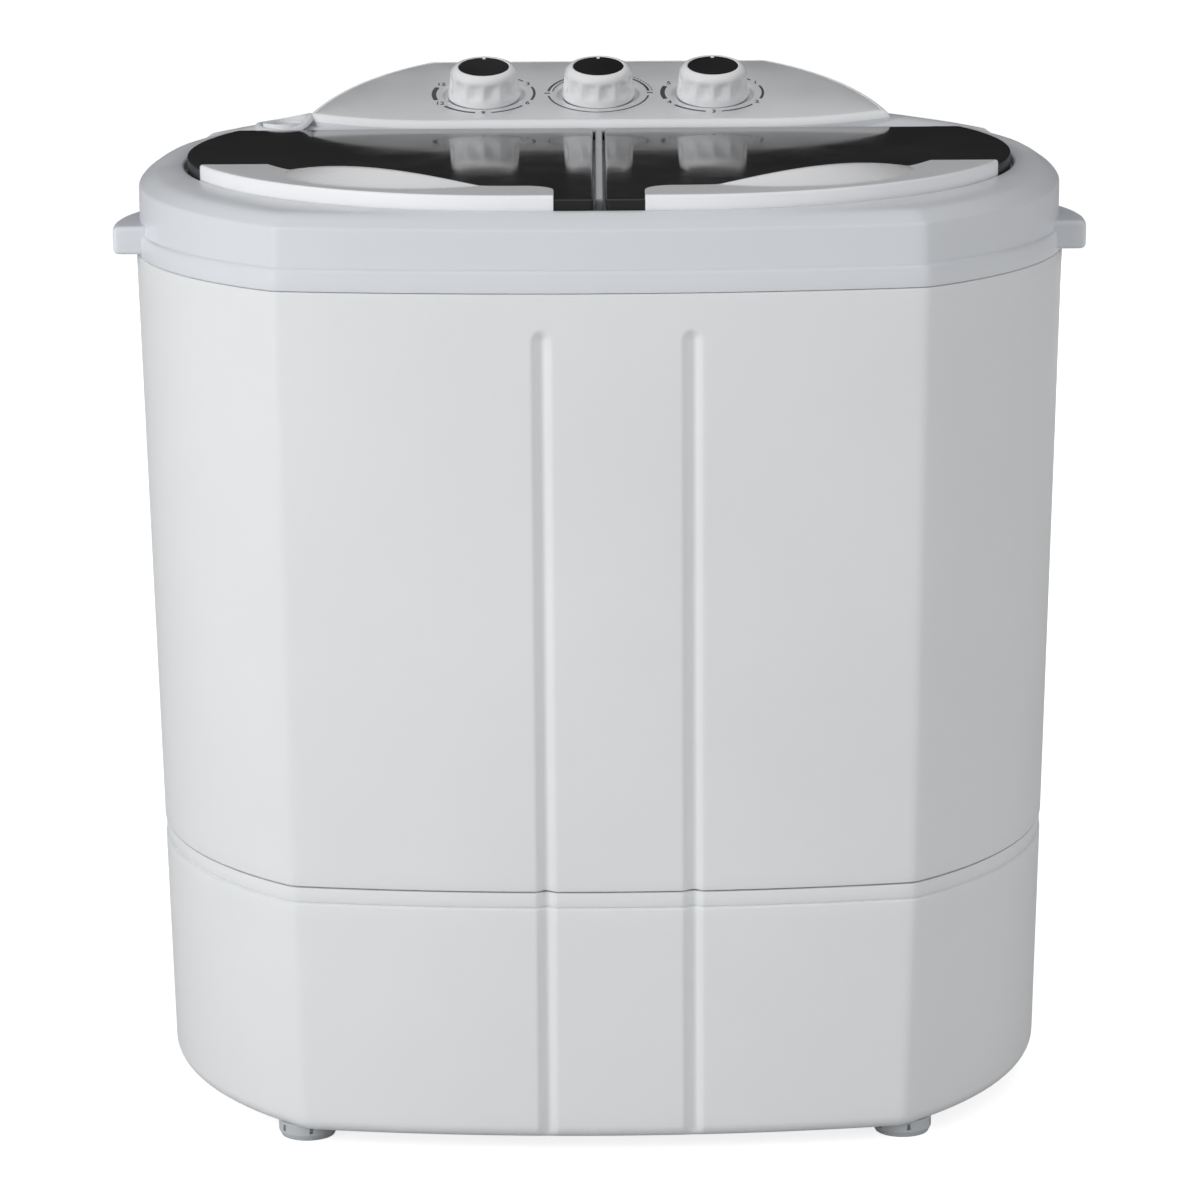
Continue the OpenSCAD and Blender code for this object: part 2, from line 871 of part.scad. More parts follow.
// Leaf-shaped finger grip: a lens in plan under a long cylinder that sinks toward the front.
module leaf() {
    half = trim_in_r * sin(leaf_half_angle);
    sag = trim_in_r * (1 - cos(leaf_half_angle)) + leaf_w;
    leaf_r = (half * half + sag * sag) / (2 * sag);
    ramp = atan(grip_h / leaf_w);
    translate([-recess_cx, recess_cy, 0])
        rotate([0, 0, -grip_angle])
            intersection() {
                translate([0, -(trim_in_r + leaf_w - leaf_r), trim_h - 1])
                    cylinder(r = leaf_r, h = grip_h + 3, $fn = 64);
                translate([0, -trim_in_r, trim_h + grip_h - leaf_arc_r])
                    rotate([90 + ramp, 0, 0])
                        translate([0, 0, -60])
                            cylinder(r = leaf_arc_r, h = 200, $fn = 180);
            }
}

module wash_lid_plate() color(black)
    lid_frame() lid_plate();

module wash_lid_trim() color(white)
    lid_frame() lid_trim();

module spin_lid_plate() color(black)
    mirror([1, 0, 0]) lid_frame() lid_plate();

module spin_lid_trim() color(white)
    mirror([1, 0, 0]) lid_frame() lid_trim();

// ---- tubs ----
tub_wall = 2.5;
tub_floor = 3;
tub_lip = 5;
lip_h = 4;
under_deck = deck_depth + deck_t + 0.1;
seal_r = 16;
bellows_hole_r = 24;
inlet_pipe_r = 9;
inlet_pipe_z = 462;
inlet_angle = atan2(wash_y + wash_half - inlet_y, wash_x - inlet_x);

module wash_stadium(r, z0, z1) {
    for (s = [-1, 1])
        translate([wash_x, wash_y + s * wash_half, z0])
            cylinder(r = r, h = z1 - z0, $fn = 72);
    translate([wash_x - r, wash_y - wash_half, z0])
        cube([2 * r, 2 * wash_half, z1 - z0]);
}

module wash_tub() color(pale_blue)
    difference() {
        intersection() {
            union() {
                wash_stadium(wash_r, tub_z, 500);
                difference() {
                    wash_stadium(wash_r + tub_lip, 476, 500);
                    below_lid_plane(under_deck + lip_h);
                }
            }
            below_lid_plane(under_deck);
        }
        wash_stadium(wash_r - tub_wall, tub_z + tub_floor, 520);
        translate([wash_x, wash_y, 0])
            rod(seal_r + 0.1, tub_z - 1, tub_z + 5);
        translate([drain_x, drain_y, 0])
            rod(drain_bore_r - 1, tub_z - 1, tub_z + 5);
        translate([inlet_x, inlet_y, inlet_pipe_z])
            rotate([0, 90, inlet_angle])
                rod(inlet_pipe_r + 0.1, 0, 60);
    }

module spin_outer_tub() color(pale_blue)
    translate([spin_x, spin_y, 0])
        difference() {
            union() {
                intersection() {
                    union() {
                        rod(spin_tub_r, tub_z, 500, 72);
                        translate([-spin_x, -spin_y, 0])
                            difference() {
                                translate([spin_x, spin_y, 0])
                                    rod(spin_tub_r + tub_lip, 476, 500, 72);
                                below_lid_plane(under_deck + lip_h);
                            }
                    }
                    translate([-spin_x, -spin_y, 0])
                        below_lid_plane(under_deck);
                }
                translate([-60, 45, 0])
                    rod(9, tub_z - 14, tub_z + 1);
            }
            rod(spin_tub_r - tub_wall, tub_z + tub_floor, 520, 72);
            rod(bellows_hole_r, tub_z - 1, tub_z + 5, 40);
            translate([-60, 45, 0])
                rod(6, tub_z - 15, tub_z + 5);
        }

module water_inlet() color(grey) {
    translate([inlet_x, inlet_y, 0])
        difference() {
            union() {
                rod(inlet_r, inlet_pipe_z - 12, inlet_top);
                translate([0, 0, inlet_pipe_z])
                    rotate([0, 90, inlet_angle])
                        rod(inlet_pipe_r, 0, 28);
            }
            rod(inlet_r - 2, inlet_pipe_z + 12, 520);
            rod(inlet_r - 3.5, inlet_pipe_z - 9, 490);
            translate([0, 0, inlet_pipe_z])
                rotate([0, 90, inlet_angle])
                    rod(inlet_pipe_r - 2, 0, 40);
        }
}

// ---- lint filter ----
filter_w = 70;
filter_h = 110;
filter_t = 11;
filter_z = 320;
filter_border = 7;
filter_x = wash_x + wash_r - tub_wall - 0.3;
mesh_cols = 5;
mesh_rows = 8;

module filter_box(d, x0, x1) {
    translate([filter_x - x1, wash_y - filter_w / 2 + d, filter_z + d])
        cube([x1 - x0, filter_w - 2 * d, filter_h - 2 * d]);
}

module lint_filter_frame() color(white)
    difference() {
        filter_box(0, 0, filter_t);
        filter_box(filter_border, 2, filter_t + 1);
    }

module lint_filter_net() color(grey)
    difference() {
        filter_box(filter_border + 0.1, filter_t - 3, filter_t - 2);
        for (i = [0:mesh_cols - 1], j = [0:mesh_rows - 1])
            translate([filter_x - filter_t, wash_y - filter_w / 2 + filter_border + 2 + i * 10.9,
                filter_z + filter_border + 2 + j * 11.75])
                cube([filter_t, 8.4, 9.6]);
    }

// ---- wash drive ----
bearing_z = 123;
belt_z0 = 108;
belt_z1 = 116;
belt_t = 3;
pulley_z0 = 104;
pulley_z1 = 120;
belt_clear = 0.3;
belt_ease = 0.03;
motor_dx = wash_motor_x - wash_x;
motor_dy = wash_motor_y - wash_y;
belt_len = sqrt(motor_dx * motor_dx + motor_dy * motor_dy);
belt_dir = atan2(motor_dy, motor_dx);
wash_motor_z0 = 26;
wash_motor_z1 = 88;
pulsator_z = 155.5;

module wash_bearing_housing() color(steel)
    translate([wash_x, wash_y, 0])
        difference() {
            union() {
                rod(22, bearing_z, tub_z, 40);
                rod(36, tub_z - 5, tub_z, 48);
            }
            rod(wash_shaft_r + 0.05, bearing_z - 1, tub_z + 1, 40);
        }

module pulsator_seal() color(rubber)
    translate([wash_x, wash_y, 0])
        ring(seal_r, wash_shaft_r + belt_clear, tub_z + 0.1, tub_z + tub_floor + 1.5, 40);

module belt_loop(grow, z0, z1) {
    ra = pulley_r + grow;
    rb = motor_pulley_r + grow;
    ta = ra - belt_ease;
    tb = rb - belt_ease;
    ca = (ra - rb) / belt_len;
    sa = sqrt(1 - ca * ca);
    translate([wash_x, wash_y, 0])
        rotate([0, 0, belt_dir]) {
            rod(ra, z0, z1, 72);
            translate([belt_len, 0, 0])
                rod(rb, z0, z1, 40);
            translate([0, 0, z0])
                linear_extrude(height = z1 - z0)
                    polygon([[ta * ca, ta * sa], [ta * ca, -ta * sa],
                        [belt_len + tb * ca, -tb * sa], [belt_len + tb * ca, tb * sa]]);
        }
}

module drive_belt() color(rubber)
    difference() {
        belt_loop(belt_clear + belt_t, belt_z0, belt_z1);
        belt_loop(belt_clear, belt_z0 - 1, belt_z1 + 1);
    }

module wash_motor() color(steel)
    translate([wash_motor_x, wash_motor_y, 0])
        difference() {
            union() {
                rod(wash_motor_r, wash_motor_z0, wash_motor_z1, 64);
                rod(wash_motor_r + 3, wash_motor_z0 + 24, wash_motor_z0 + 36, 64);
                rod(14, wash_motor_z1 - 1, wash_motor_z1 + 5);
            }
            rod(5.05, wash_motor_z1 - 12, wash_motor_z1 + 10);
        }

module wash_motor_bracket() color(steel)
    translate([wash_motor_x, wash_motor_y, 0])
        union() {
            translate([-44, -44, wash_motor_z0 - 4])
                cube([88, 88, 4]);
            for (sx = [-1, 1], sy = [-1, 1])
                translate([sx * 38, sy * 38, 0])
                    rod(5, base_z + base_wall, wash_motor_z0 - 3.5, 24);
        }

module wash_motor_shaft() color(steel)
    translate([wash_motor_x, wash_motor_y, 0])
        rod(5, wash_motor_z1 - 10, pulley_z1 + 3);

module motor_pulley() color(grey)
    translate([wash_motor_x, wash_motor_y, 0])
        difference() {
            union() {
                rod(motor_pulley_r, pulley_z0, pulley_z1, 40);
                rod(motor_pulley_r + 4.5, pulley_z0, belt_z0 - 1, 40);
                rod(motor_pulley_r + 4.5, belt_z1 + 1, pulley_z1, 40);
            }
            rod(5.02, pulley_z0 - 1, pulley_z1 + 1);
        }

module pulsator() color(pale_blue)
    translate([wash_x, wash_y, 0])
        difference() {
            union() {
                rod(pulsator_r, pulsator_z, pulsator_z + 6, 72);
                translate([0, 0, pulsator_z + 6])
                    cylinder(r1 = pulsator_r - 8, r2 = 24, h = 8, $fn = 72);
                rod(18, pulsator_z + 6, pulsator_z + 24, 40);
                for (a = [0:90:270])
                    rotate([0, 0, a])
                        intersection() {
                            translate([10, -3.5, pulsator_z + 5])
                                cube([pulsator_r - 14, 7, 20]);
                            translate([0, 0, pulsator_z + 5])
                                cylinder(r1 = pulsator_r - 2, r2 = 30, h = 20, $fn = 72);
                        }
            }
            rod(wash_shaft_r + 0.02, pulsator_z - 1, pulsator_z + 18);
            rod(3.1, pulsator_z, pulsator_z + 30, 24);
            rod(6.6, pulsator_z + 21, pulsator_z + 30, 24);
        }

module pulsator_shaft() color(steel)
    translate([wash_x, wash_y, 0])
        difference() {
            rod(wash_shaft_r, pulley_z0 - 2, pulsator_z + 17.8);
            rod(2.55, pulsator_z + 2, pulsator_z + 19, 24);
        }

module pulsator_pulley() color(grey)
    translate([wash_x, wash_y, 0])
        difference() {
            union() {
                ring(pulley_r, pulley_r - 5, pulley_z0, pulley_z1, 72);
                rod(pulley_r - 4, pulley_z0 + 6, pulley_z0 + 10, 72);
                rod(14, pulley_z0, pulley_z1);
            }
            for (a = [0:60:300])
                rotate([0, 0, a])
                    translate([32, 0, 0])
                        rod(11, pulley_z0, pulley_z1, 32);
            rod(wash_shaft_r + 0.02, pulley_z0 - 1, pulley_z1 + 1);
        }

module pulsator_screw() color(steel)
    translate([wash_x, wash_y, 0])
        difference() {
            union() {
                rod(6.5, pulsator_z + 21, pulsator_z + 24.5, 24);
                rod(2.5, pulsator_z + 4, pulsator_z + 22, 24);
            }
            translate([-5, -0.8, pulsator_z + 23])
                cube([10, 1.6, 3]);
        }

// ---- spin drive ----
spin_motor_z0 = 30;
spin_motor_z1 = 96;
spin_flange_r = 62;
mount_pcd = 54;
drum_z0 = 102;
drum_z1 = 116;
brake_px = 165;
brake_py = 28;
pad_t = 6;

module at_spin() {
    translate([spin_x, spin_y, 0])
        children();
}

module spin_motor() color(steel)
    at_spin()
        difference() {
            union() {
                rod(spin_flange_r, spin_motor_z0, spin_motor_z0 + 4, 64);
                rod(spin_motor_r, spin_motor_z0 + 3, spin_motor_z1, 64);
                rod(spin_motor_r + 3, spin_motor_z0 + 26, spin_motor_z0 + 40, 64);
            }
            rod(spin_shaft_r + 0.05, spin_motor_z1 - 14, spin_motor_z1 + 1);
        }

module spin_motor_mounts() color(rubber)
    at_spin()
        for (a = [30:120:270])
            rotate([0, 0, a])
                translate([mount_pcd, 0, 0])
                    rotate_extrude($fn = 40)
                        polygon([[0, 12.1], [12, 12.1], [12, 15], [8, 17.5], [11, 20], [8, 22.5], [11, 25],
                            [10, 29.9], [0, 29.9]]);

module spin_shaft_bellows() color(rubber)
    at_spin()
        rotate_extrude($fn = 48)
            polygon([[8.6, 120], [12, 120], [13, 126], [18, 130], [14, 134], [20, 138], [17, 142],
                [30, 145], [30, tub_z - 0.2], [bellows_hole_r - 0.5, tub_z - 0.2],
                [bellows_hole_r - 0.5, tub_z + 8], [12, tub_z + 14], [8.6, tub_z + 14],
                [8.6, tub_z + 11], [14, tub_z + 5], [14, 146], [10, 130]]);

module spin_shaft() color(steel)
    at_spin()
        rod(spin_shaft_r, spin_motor_z1 - 12, basket_z + 28);

module brake_drum() color(grey)
    at_spin()
        difference() {
            union() {
                ring(drum_r, drum_r - 4, drum_z0, drum_z1, 64);
                rod(drum_r - 3, drum_z0 + 4, drum_z0 + 8, 64);
                rod(13, drum_z0, drum_z1);
            }
            rod(spin_shaft_r + 0.02, drum_z0 - 1, drum_z1 + 1);
        }

module spin_basket() color(steel)
    at_spin()
        difference() {
            union() {
                difference() {
                    rod(basket_r, basket_z, basket_top, 72);
                    rod(basket_r - 1.8, basket_z + 4, basket_top + 1, 72);
                }
                ring(basket_r - 1, basket_r - 4.5, basket_top - 14, basket_top, 72);
                rod(16, basket_z + 3, basket_z + 30, 40);
            }
            rod(spin_shaft_r + 0.02, basket_z - 1, basket_z + 28.2);
            for (row = [0:4], col = [0:11])
                rotate([0, 0, col * 30 + row * 15])
                    translate([0, 0, basket_z + 40 + row * 42])
                        rotate([0, 90, 0])
                            rod(3, basket_r - 8, basket_r + 4, 14);
        }

module press_plate() color(white)
    at_spin()
        difference() {
            union() {
                rod(basket_r - 6.5, basket_z + 31.5, basket_z + 34, 72);
                ring(basket_r - 6.5, basket_r - 9, basket_z + 31.5, basket_z + 40, 72);
                ring(16, 13, basket_z + 31.5, basket_z + 42, 40);
            }
            for (a = [0:30:330])
                rotate([0, 0, a])
                    for (d = [30, 46, 62])
                        translate([d, 0, 0])
                            rod(4, basket_z + 30, basket_z + 36, 16);
        }

module brake_post() color(steel)
    translate([brake_px, brake_py, 0])
        union() {
            rod(7, base_z + base_wall, 104.5);
            rod(4, 104, 118);
        }

module brake_lever() color(steel)
    translate([brake_px, brake_py, 0])
        difference() {
            union() {
                rod(9, 105, 113);
                translate([spin_x - brake_px - 8, -4, 106])
                    cube([brake_px - spin_x + 8, 8, 6]);
            }
            rod(4.06, 100, 120);
        }

module brake_pad() color(rubber)
    translate([spin_x - 8, spin_y + drum_r + brake_gap, 104.5])
        cube([16, brake_py - 4 - (spin_y + drum_r + brake_gap), 9]);

// ---- drain, capacitor, gland ----
drain_outer_r = drain_bore_r + 2.2;
drain_inner_r = drain_bore_r - 0.5;
valve_r = 17;
gland_x = 105;
gland_z = 50;
gland_r = 9;
cap_body_r = 17;
cap_len = 70;
cap_x = 10;
cap_y = -120;
cap_z = base_z + base_wall + cap_body_r + 1;

module drain_valve_housing() color(grey)
    translate([drain_x, drain_y, 0])
        difference() {
            union() {
                rod(valve_r, drain_z - drain_outer_r, tub_z, 40);
                translate([0, 0, drain_z])
                    rotate([-90, 0, 0])
                        rod(drain_outer_r, 0, 24, 40);
            }
            rod(valve_r - 2.5, drain_z - drain_outer_r + 2.2, tub_z - 4, 40);
            rod(drain_bore_r - 1, tub_z - 5, tub_z + 1, 40);
            translate([0, 0, drain_z])
                rotate([-90, 0, 0])
                    rod(drain_inner_r, 0, 25, 40);
        }

module drain_pipe() color(grey)
    translate([drain_x, drain_y, drain_z])
        rotate([-90, 0, 0])
            ring(drain_outer_r, drain_inner_r, 24.05, rear_y - drain_y - 14, 40);

module drain_outlet() color(grey)
    translate([drain_x, rear_y, drain_z])
        rotate([90, 0, 0])
            difference() {
                union() {
                    rod(drain_outer_r + 3, 0, 6, 48);
                    rod(drain_outer_r, 0, 13.95, 48);
                    rod(drain_outer_r + 6, base_side + 0.1, 9.5, 48);
                }
                rod(drain_bore_r, -1, 20, 48);
            }

module drain_plug() color(rubber)
    translate([drain_x, drain_y, 0])
        union() {
            rod(drain_bore_r + 1.5, tub_z + tub_floor + 0.3, tub_z + tub_floor + 4, 32);
            rod(7, tub_z + tub_floor + 3.5, tub_z + tub_floor + 14, 32);
            rod(3.5, tub_z - 22, tub_z + tub_floor + 1, 24);
        }

module capacitor() color(grey)
    translate([cap_x, cap_y, cap_z])
        rotate([0, 90, 0]) {
            rod(cap_body_r, -cap_len / 2, cap_len / 2, 40);
            for (s = [-1, 1])
                translate([s * 6, 0, 0])
                    rod(1.5, cap_len / 2 - 1, cap_len / 2 + 6, 16);
        }

module capacitor_clip() color(steel)
    translate([cap_x, cap_y, 0])
        difference() {
            union() {
                translate([0, 0, cap_z])
                    rotate([0, 90, 0])
                        rod(cap_body_r + 1.5, -8, 8, 40);
                translate([-8, -cap_body_r - 12, base_z + base_wall])
                    cube([16, 2 * cap_body_r + 24, 1.5]);
            }
            translate([0, 0, cap_z])
                rotate([0, 90, 0])
                    rod(cap_body_r + 0.02, -9, 9, 40);
            translate([-20, -60, 0])
                cube([40, 120, base_z + base_wall]);
        }

module cord_gland() color(rubber)
    translate([gland_x, rear_y, gland_z])
        rotate([90, 0, 0])
            difference() {
                union() {
                    rod(gland_r, 0, 10);
                    rod(gland_r + 4, base_side + 0.1, 8.5);
                }
                rod(gland_bore_r, -1, 20, 32);
            }

base_housing();
feet();
cabinet();
rear_service_cover();
rear_cover_screws();
top_frame();
panel_housing();
panel_fascia();
panel_screws();
wash_timer_body();
selector_switch_body();
spin_timer_body();
wash_tub();
spin_outer_tub();
water_inlet();
lint_filter_frame();
lint_filter_net();
wash_bearing_housing();
pulsator_seal();
drive_belt();
wash_motor();
wash_motor_bracket();
spin_motor();
spin_motor_mounts();
spin_shaft_bellows();
drain_valve_housing();
drain_pipe();
drain_outlet();
capacitor();
capacitor_clip();
cord_gland();
brake_post();
wash_lid_plate();
wash_lid_trim();
spin_lid_plate();
spin_lid_trim();
wash_knob();
wash_knob_cap();
wash_timer_shaft();
selector_knob();
selector_knob_cap();
selector_shaft();
spin_knob();
spin_knob_cap();
spin_timer_shaft();
pulsator();
pulsator_shaft();
pulsator_pulley();
pulsator_screw();
wash_motor_shaft();
motor_pulley();
spin_basket();
spin_shaft();
brake_drum();
brake_lever();
brake_pad();
drain_plug();
press_plate();
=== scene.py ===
"""Looks of the portable mini washer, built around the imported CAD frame.

Lengths are millimetres and made() turns them into metres. Lamps and the camera are placed in metres.
"""

import json
import math

import bmesh
import bpy
import numpy as np
from mathutils import Matrix, Vector


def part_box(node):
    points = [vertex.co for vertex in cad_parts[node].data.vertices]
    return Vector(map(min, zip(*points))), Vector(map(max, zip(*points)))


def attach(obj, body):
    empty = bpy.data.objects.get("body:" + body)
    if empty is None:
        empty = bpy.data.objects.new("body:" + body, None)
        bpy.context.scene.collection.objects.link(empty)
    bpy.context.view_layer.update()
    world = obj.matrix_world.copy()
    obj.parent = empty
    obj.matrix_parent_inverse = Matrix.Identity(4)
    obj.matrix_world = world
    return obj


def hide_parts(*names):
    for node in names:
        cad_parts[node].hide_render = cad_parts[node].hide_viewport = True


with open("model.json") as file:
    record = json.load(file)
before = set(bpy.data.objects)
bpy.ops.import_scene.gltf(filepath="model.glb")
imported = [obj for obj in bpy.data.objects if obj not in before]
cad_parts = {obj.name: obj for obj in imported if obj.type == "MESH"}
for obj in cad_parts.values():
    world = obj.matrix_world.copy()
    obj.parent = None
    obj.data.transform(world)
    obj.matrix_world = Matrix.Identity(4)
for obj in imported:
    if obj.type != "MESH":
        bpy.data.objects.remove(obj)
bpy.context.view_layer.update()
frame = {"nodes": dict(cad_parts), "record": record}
MM = 0.001


def box_mm(node):
    """Low and high corner of a CAD node's box."""
    return [np.array(v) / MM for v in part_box(node)]


# ---------------------------------------------------------------- measures
cabinet_lo, cabinet_hi = box_mm("cabinet")
rear = float(cabinet_hi[1])
rim_z = float(cabinet_hi[2])
cab_z = float(cabinet_lo[2])
base_z = float(box_mm("base_housing")[0][2])
seam_z = cab_z - 9.2
ledge_z = rim_z + 11.6

lid_tilt = math.radians(1.36)
lid_top_z = 502.47
lid_y, lid_half = 11, 41
LID_ENDS = (-lid_half, lid_y), (lid_half, lid_y)
hinge_y, hinge_z = 91, -4
band_in, band_out = 147.6, 180.6

panel_tilt = math.radians(16)
panel_front, panel_z, knob_y = 98.6, 507.5, 140.0
knob_pitch = 64.6

groove_x = (-29.5, 46.0)
groove_top = 435.5
wash_centre = (-113.0, -28.0)
spin_centre = (112, -18)
spin_hole_r = 85


def side_radius(z):
    """Radius of the body's sides, which draw in toward the floor."""
    return 227.6 - 0.0229 * (rim_z - z)


def front_reach(z):
    """How far the front stands out. The base and the cabinet each have their own slope."""
    if z > seam_z:
        return 182.6 + 7.4 * (z - seam_z) / (rim_z - seam_z)
    return 181.4 + 1.2 * (z - base_z) / (seam_z - base_z)


def lid_plane(y):
    return lid_top_z + y * math.tan(lid_tilt)


def panel_plane(y):
    return panel_z + (y - panel_front) * math.tan(panel_tilt)


def ease(t):
    """From 0 to 1 with a soft start and end."""
    t = np.clip(t, 0, 1)
    return t * t * (3 - 2 * t)


# ---------------------------------------------------------------- plan outlines as signed distances
def capsule(p, a, b, r):
    a, b = np.array(a, float), np.array(b, float)
    ab = b - a
    t = np.clip(((p - a) @ ab) / max(ab @ ab, 1e-9), 0, 1)
    return np.linalg.norm(p - a - t[:, None] * ab, axis=1) - r


def soft_max(parts, softness):
    """The largest of several distances, with the corners between them rounded."""
    parts = np.array(parts) / softness
    top = parts.max(0)
    return softness * (top + np.log(np.exp(parts - top).sum(0)))


def body_plan(side_r, front_y):
    """Two side arcs, one nearly flat front arc and a straight rear."""
    front_r = 887

    def distance(p):
        front_centre = (0, front_r - front_y)
        return soft_max([capsule(p, (-20.5, 2), (20.5, 2), side_r),
                         capsule(p, front_centre, front_centre, front_r), p[:, 1] - rear], 0.5)
    return distance


def recess_plan(p):
    return soft_max([capsule(p, *LID_ENDS, 182), p[:, 1] - 97], 1.2)


def wash_hole_plan(p):
    return soft_max([capsule(p, (-113, -60), (-113, 4), 97), capsule(p, *LID_ENDS, 170)], 1.5)


def lid_plan(p):
    """The left lid: its right edge is straight, beside the rib between the lids."""
    return soft_max([capsule(p, *LID_ENDS, 179.9), p[:, 0] + 3.2, p[:, 1] - 94], 0.8)


def panel_plan(p):
    return soft_max([capsule(p, (-36, 70), (36, 70), 134), capsule(p, (-90, 318.6), (90, 318.6), 220),
                     p[:, 1] - rear], 0.3)


def handle_plan(p):
    """The right handle: an arc with square ends, set into the body."""
    arc = capsule(p, (110, -36), (110, -36), 147)
    return soft_max([arc, -55 - p[:, 1], p[:, 1] - 32, 232 - p[:, 0]], 0.9)


def ray_ring(outline, origin, angles, inset=0.0):
    """Where rays from the origin meet the outline moved in by inset, found by halving the range."""
    d = np.stack([np.cos(angles), np.sin(angles)], 1)
    past_everything, halvings = 420.0, 34
    lo, hi = np.zeros(len(d)), np.full(len(d), past_everything)
    for _ in range(halvings):
        mid = (lo + hi) / 2
        inside = outline(np.array(origin) + d * mid[:, None]) < -inset
        lo, hi = np.where(inside, mid, lo), np.where(inside, hi, mid)
    return np.array(origin) + d * lo[:, None]


def spread(step, close, width=3.0, fine=0.35):
    """Angles round a circle in degrees, closer together near the listed ones."""
    a = set(np.round(np.arange(-180, 180, step), 3))
    for c in close:
        a = {x for x in a if abs(x - c) > width + 0.2 * step}
        a |= set(np.round(np.arange(c - width, c + width + 0.01, fine), 3))
    a = {round((x + 180) % 360 - 180, 3) for x in a}
    return np.radians(sorted(a))


# ---------------------------------------------------------------- mesh helpers
def at(plan, z):
    """Plan points with a height each."""
    return np.column_stack([plan, np.broadcast_to(z, len(plan))])


def loft(rings, closed=False, cap_first=False, cap_last=False):
    """A skin through rings of equal length, in order."""
    n = len(rings[0])
    verts = np.concatenate(rings)
    faces = []
    m = len(rings)
    for j in range(m if closed else m - 1):
        a, b = j * n, ((j + 1) % m) * n
        faces += [(a + i, a + (i + 1) % n, b + (i + 1) % n, b + i) for i in range(n)]
    if cap_first:
        faces.append(tuple(range(n - 1, -1, -1)))
    if cap_last:
        faces.append(tuple(range((m - 1) * n, m * n)))
    return verts, faces


def joined(*parts):
    """Several shapes as one."""
    verts, faces, k = [], [], 0
    for v, f in parts:
        verts.append(np.asarray(v, float))
        faces += [tuple(i + k for i in face) for face in f]
        k += len(v)
    return np.concatenate(verts), faces


def filled(outer, holes):
    """Flat triangles between an outer ring and hole rings, all on one plane."""
    bm = bmesh.new()
    for ring in [outer, *holes]:
        vs = [bm.verts.new(p) for p in ring]
        for i, v in enumerate(vs):
            bm.edges.new((v, vs[(i + 1) % len(vs)]))
    bmesh.ops.triangle_fill(bm, use_beauty=True, use_dissolve=False, edges=bm.edges[:], normal=(0, 0, 1))
    bmesh.ops.recalc_face_normals(bm, faces=bm.faces[:])
    bm.verts.index_update()
    bm.normal_update()
    up = sum(f.normal.z * f.calc_area() for f in bm.faces) > 0
    verts = np.array([v.co for v in bm.verts])
    faces = [tuple(v.index for v in (f.verts if up else reversed(f.verts))) for f in bm.faces]
    bm.free()
    return verts, faces


def made(name, shape, mats, weld=True, smooth=38, pick=None):
    """An object from a shape. pick gives each face its place in the list of materials."""
    verts, faces = shape
    mesh = bpy.data.meshes.new(name)
    mesh.from_pydata([tuple(v) for v in np.asarray(verts) * MM], [], faces)
    for m in mats if isinstance(mats, (list, tuple)) else [mats]:
        mesh.materials.append(m)
    if pick is not None:
        for i, poly in enumerate(mesh.polygons):
            poly.material_index = pick[i]
    obj = bpy.data.objects.new(name, mesh)
    bpy.context.scene.collection.objects.link(obj)
    if weld:
        bm = bmesh.new()
        bm.from_mesh(mesh)
        bmesh.ops.remove_doubles(bm, verts=bm.verts, dist=2e-6)
        bm.to_mesh(mesh)
        bm.free()
    soften(obj, smooth)
    return obj


def soften(obj, smooth):
    """Smooth shading, with an edge kept sharp where it turns by more than the given degrees."""
    obj.data.shade_smooth()
    obj.data.set_sharp_from_angle(angle=math.radians(smooth))


def piece(obj, body, nodes=()):
    """Tells the frame which body an object rides on, and which CAD nodes it stands in for."""
    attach(obj, body)
    if nodes:
        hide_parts(*nodes)
    return obj


def cut(obj, cutter_shape, smooth):
    """Takes a shape out of an object."""
    cutter = made("cutter", cutter_shape, [])
    mod = obj.modifiers.new("cut", "BOOLEAN")
    mod.operation = "DIFFERENCE"
    mod.solver = "EXACT"
    mod.object = cutter
    fresh = bpy.data.meshes.new_from_object(obj.evaluated_get(bpy.context.evaluated_depsgraph_get()))
    obj.modifiers.clear()
    obj.data = fresh
    bpy.data.objects.remove(cutter)
    soften(obj, smooth)


def box_shape(x0, x1, y0, y1, z0, z1, r=0.0):
    """Upright box, with its vertical edges rounded if r is given."""
    steps = 5
    if r <= 0:
        plan = np.array([(x0, y0), (x1, y0), (x1, y1), (x0, y1)], float)
    else:
        plan = []
        corners = ((x1 - r, y0 + r, -90), (x1 - r, y1 - r, 0), (x0 + r, y1 - r, 90), (x0 + r, y0 + r, 180))
        for cx, cy, start in corners:
            for i in range(steps + 1):
                a = math.radians(start + 90 * i / steps)
                plan.append((cx + r * math.cos(a), cy + r * math.sin(a)))
        plan = np.array(plan)
    return loft([at(plan, z0), at(plan, z1)], cap_first=True, cap_last=True)


def flipped(shape):
    """The same shape with its faces turned to look the other way."""
    return shape[0], [tuple(reversed(f)) for f in shape[1]]


def turned(shape, swap):
    """A shape with its coordinates in another order: swap gives, for x, y and z, (axis, sign, shift)."""
    verts, faces = shape
    v = np.stack([verts[:, a] * s + d for a, s, d in swap], 1)
    m = np.zeros((3, 3))
    for i, (a, s, _) in enumerate(swap):
        m[i, a] = s
    if np.linalg.det(m) < 0:
        faces = [tuple(reversed(f)) for f in faces]
    return v, faces


def disc_ring(r, n, cx=0.0, cy=0.0):
    a = np.radians(np.arange(n) * 360 / n)
    return np.stack([cx + r * np.cos(a), cy + r * np.sin(a)], 1)


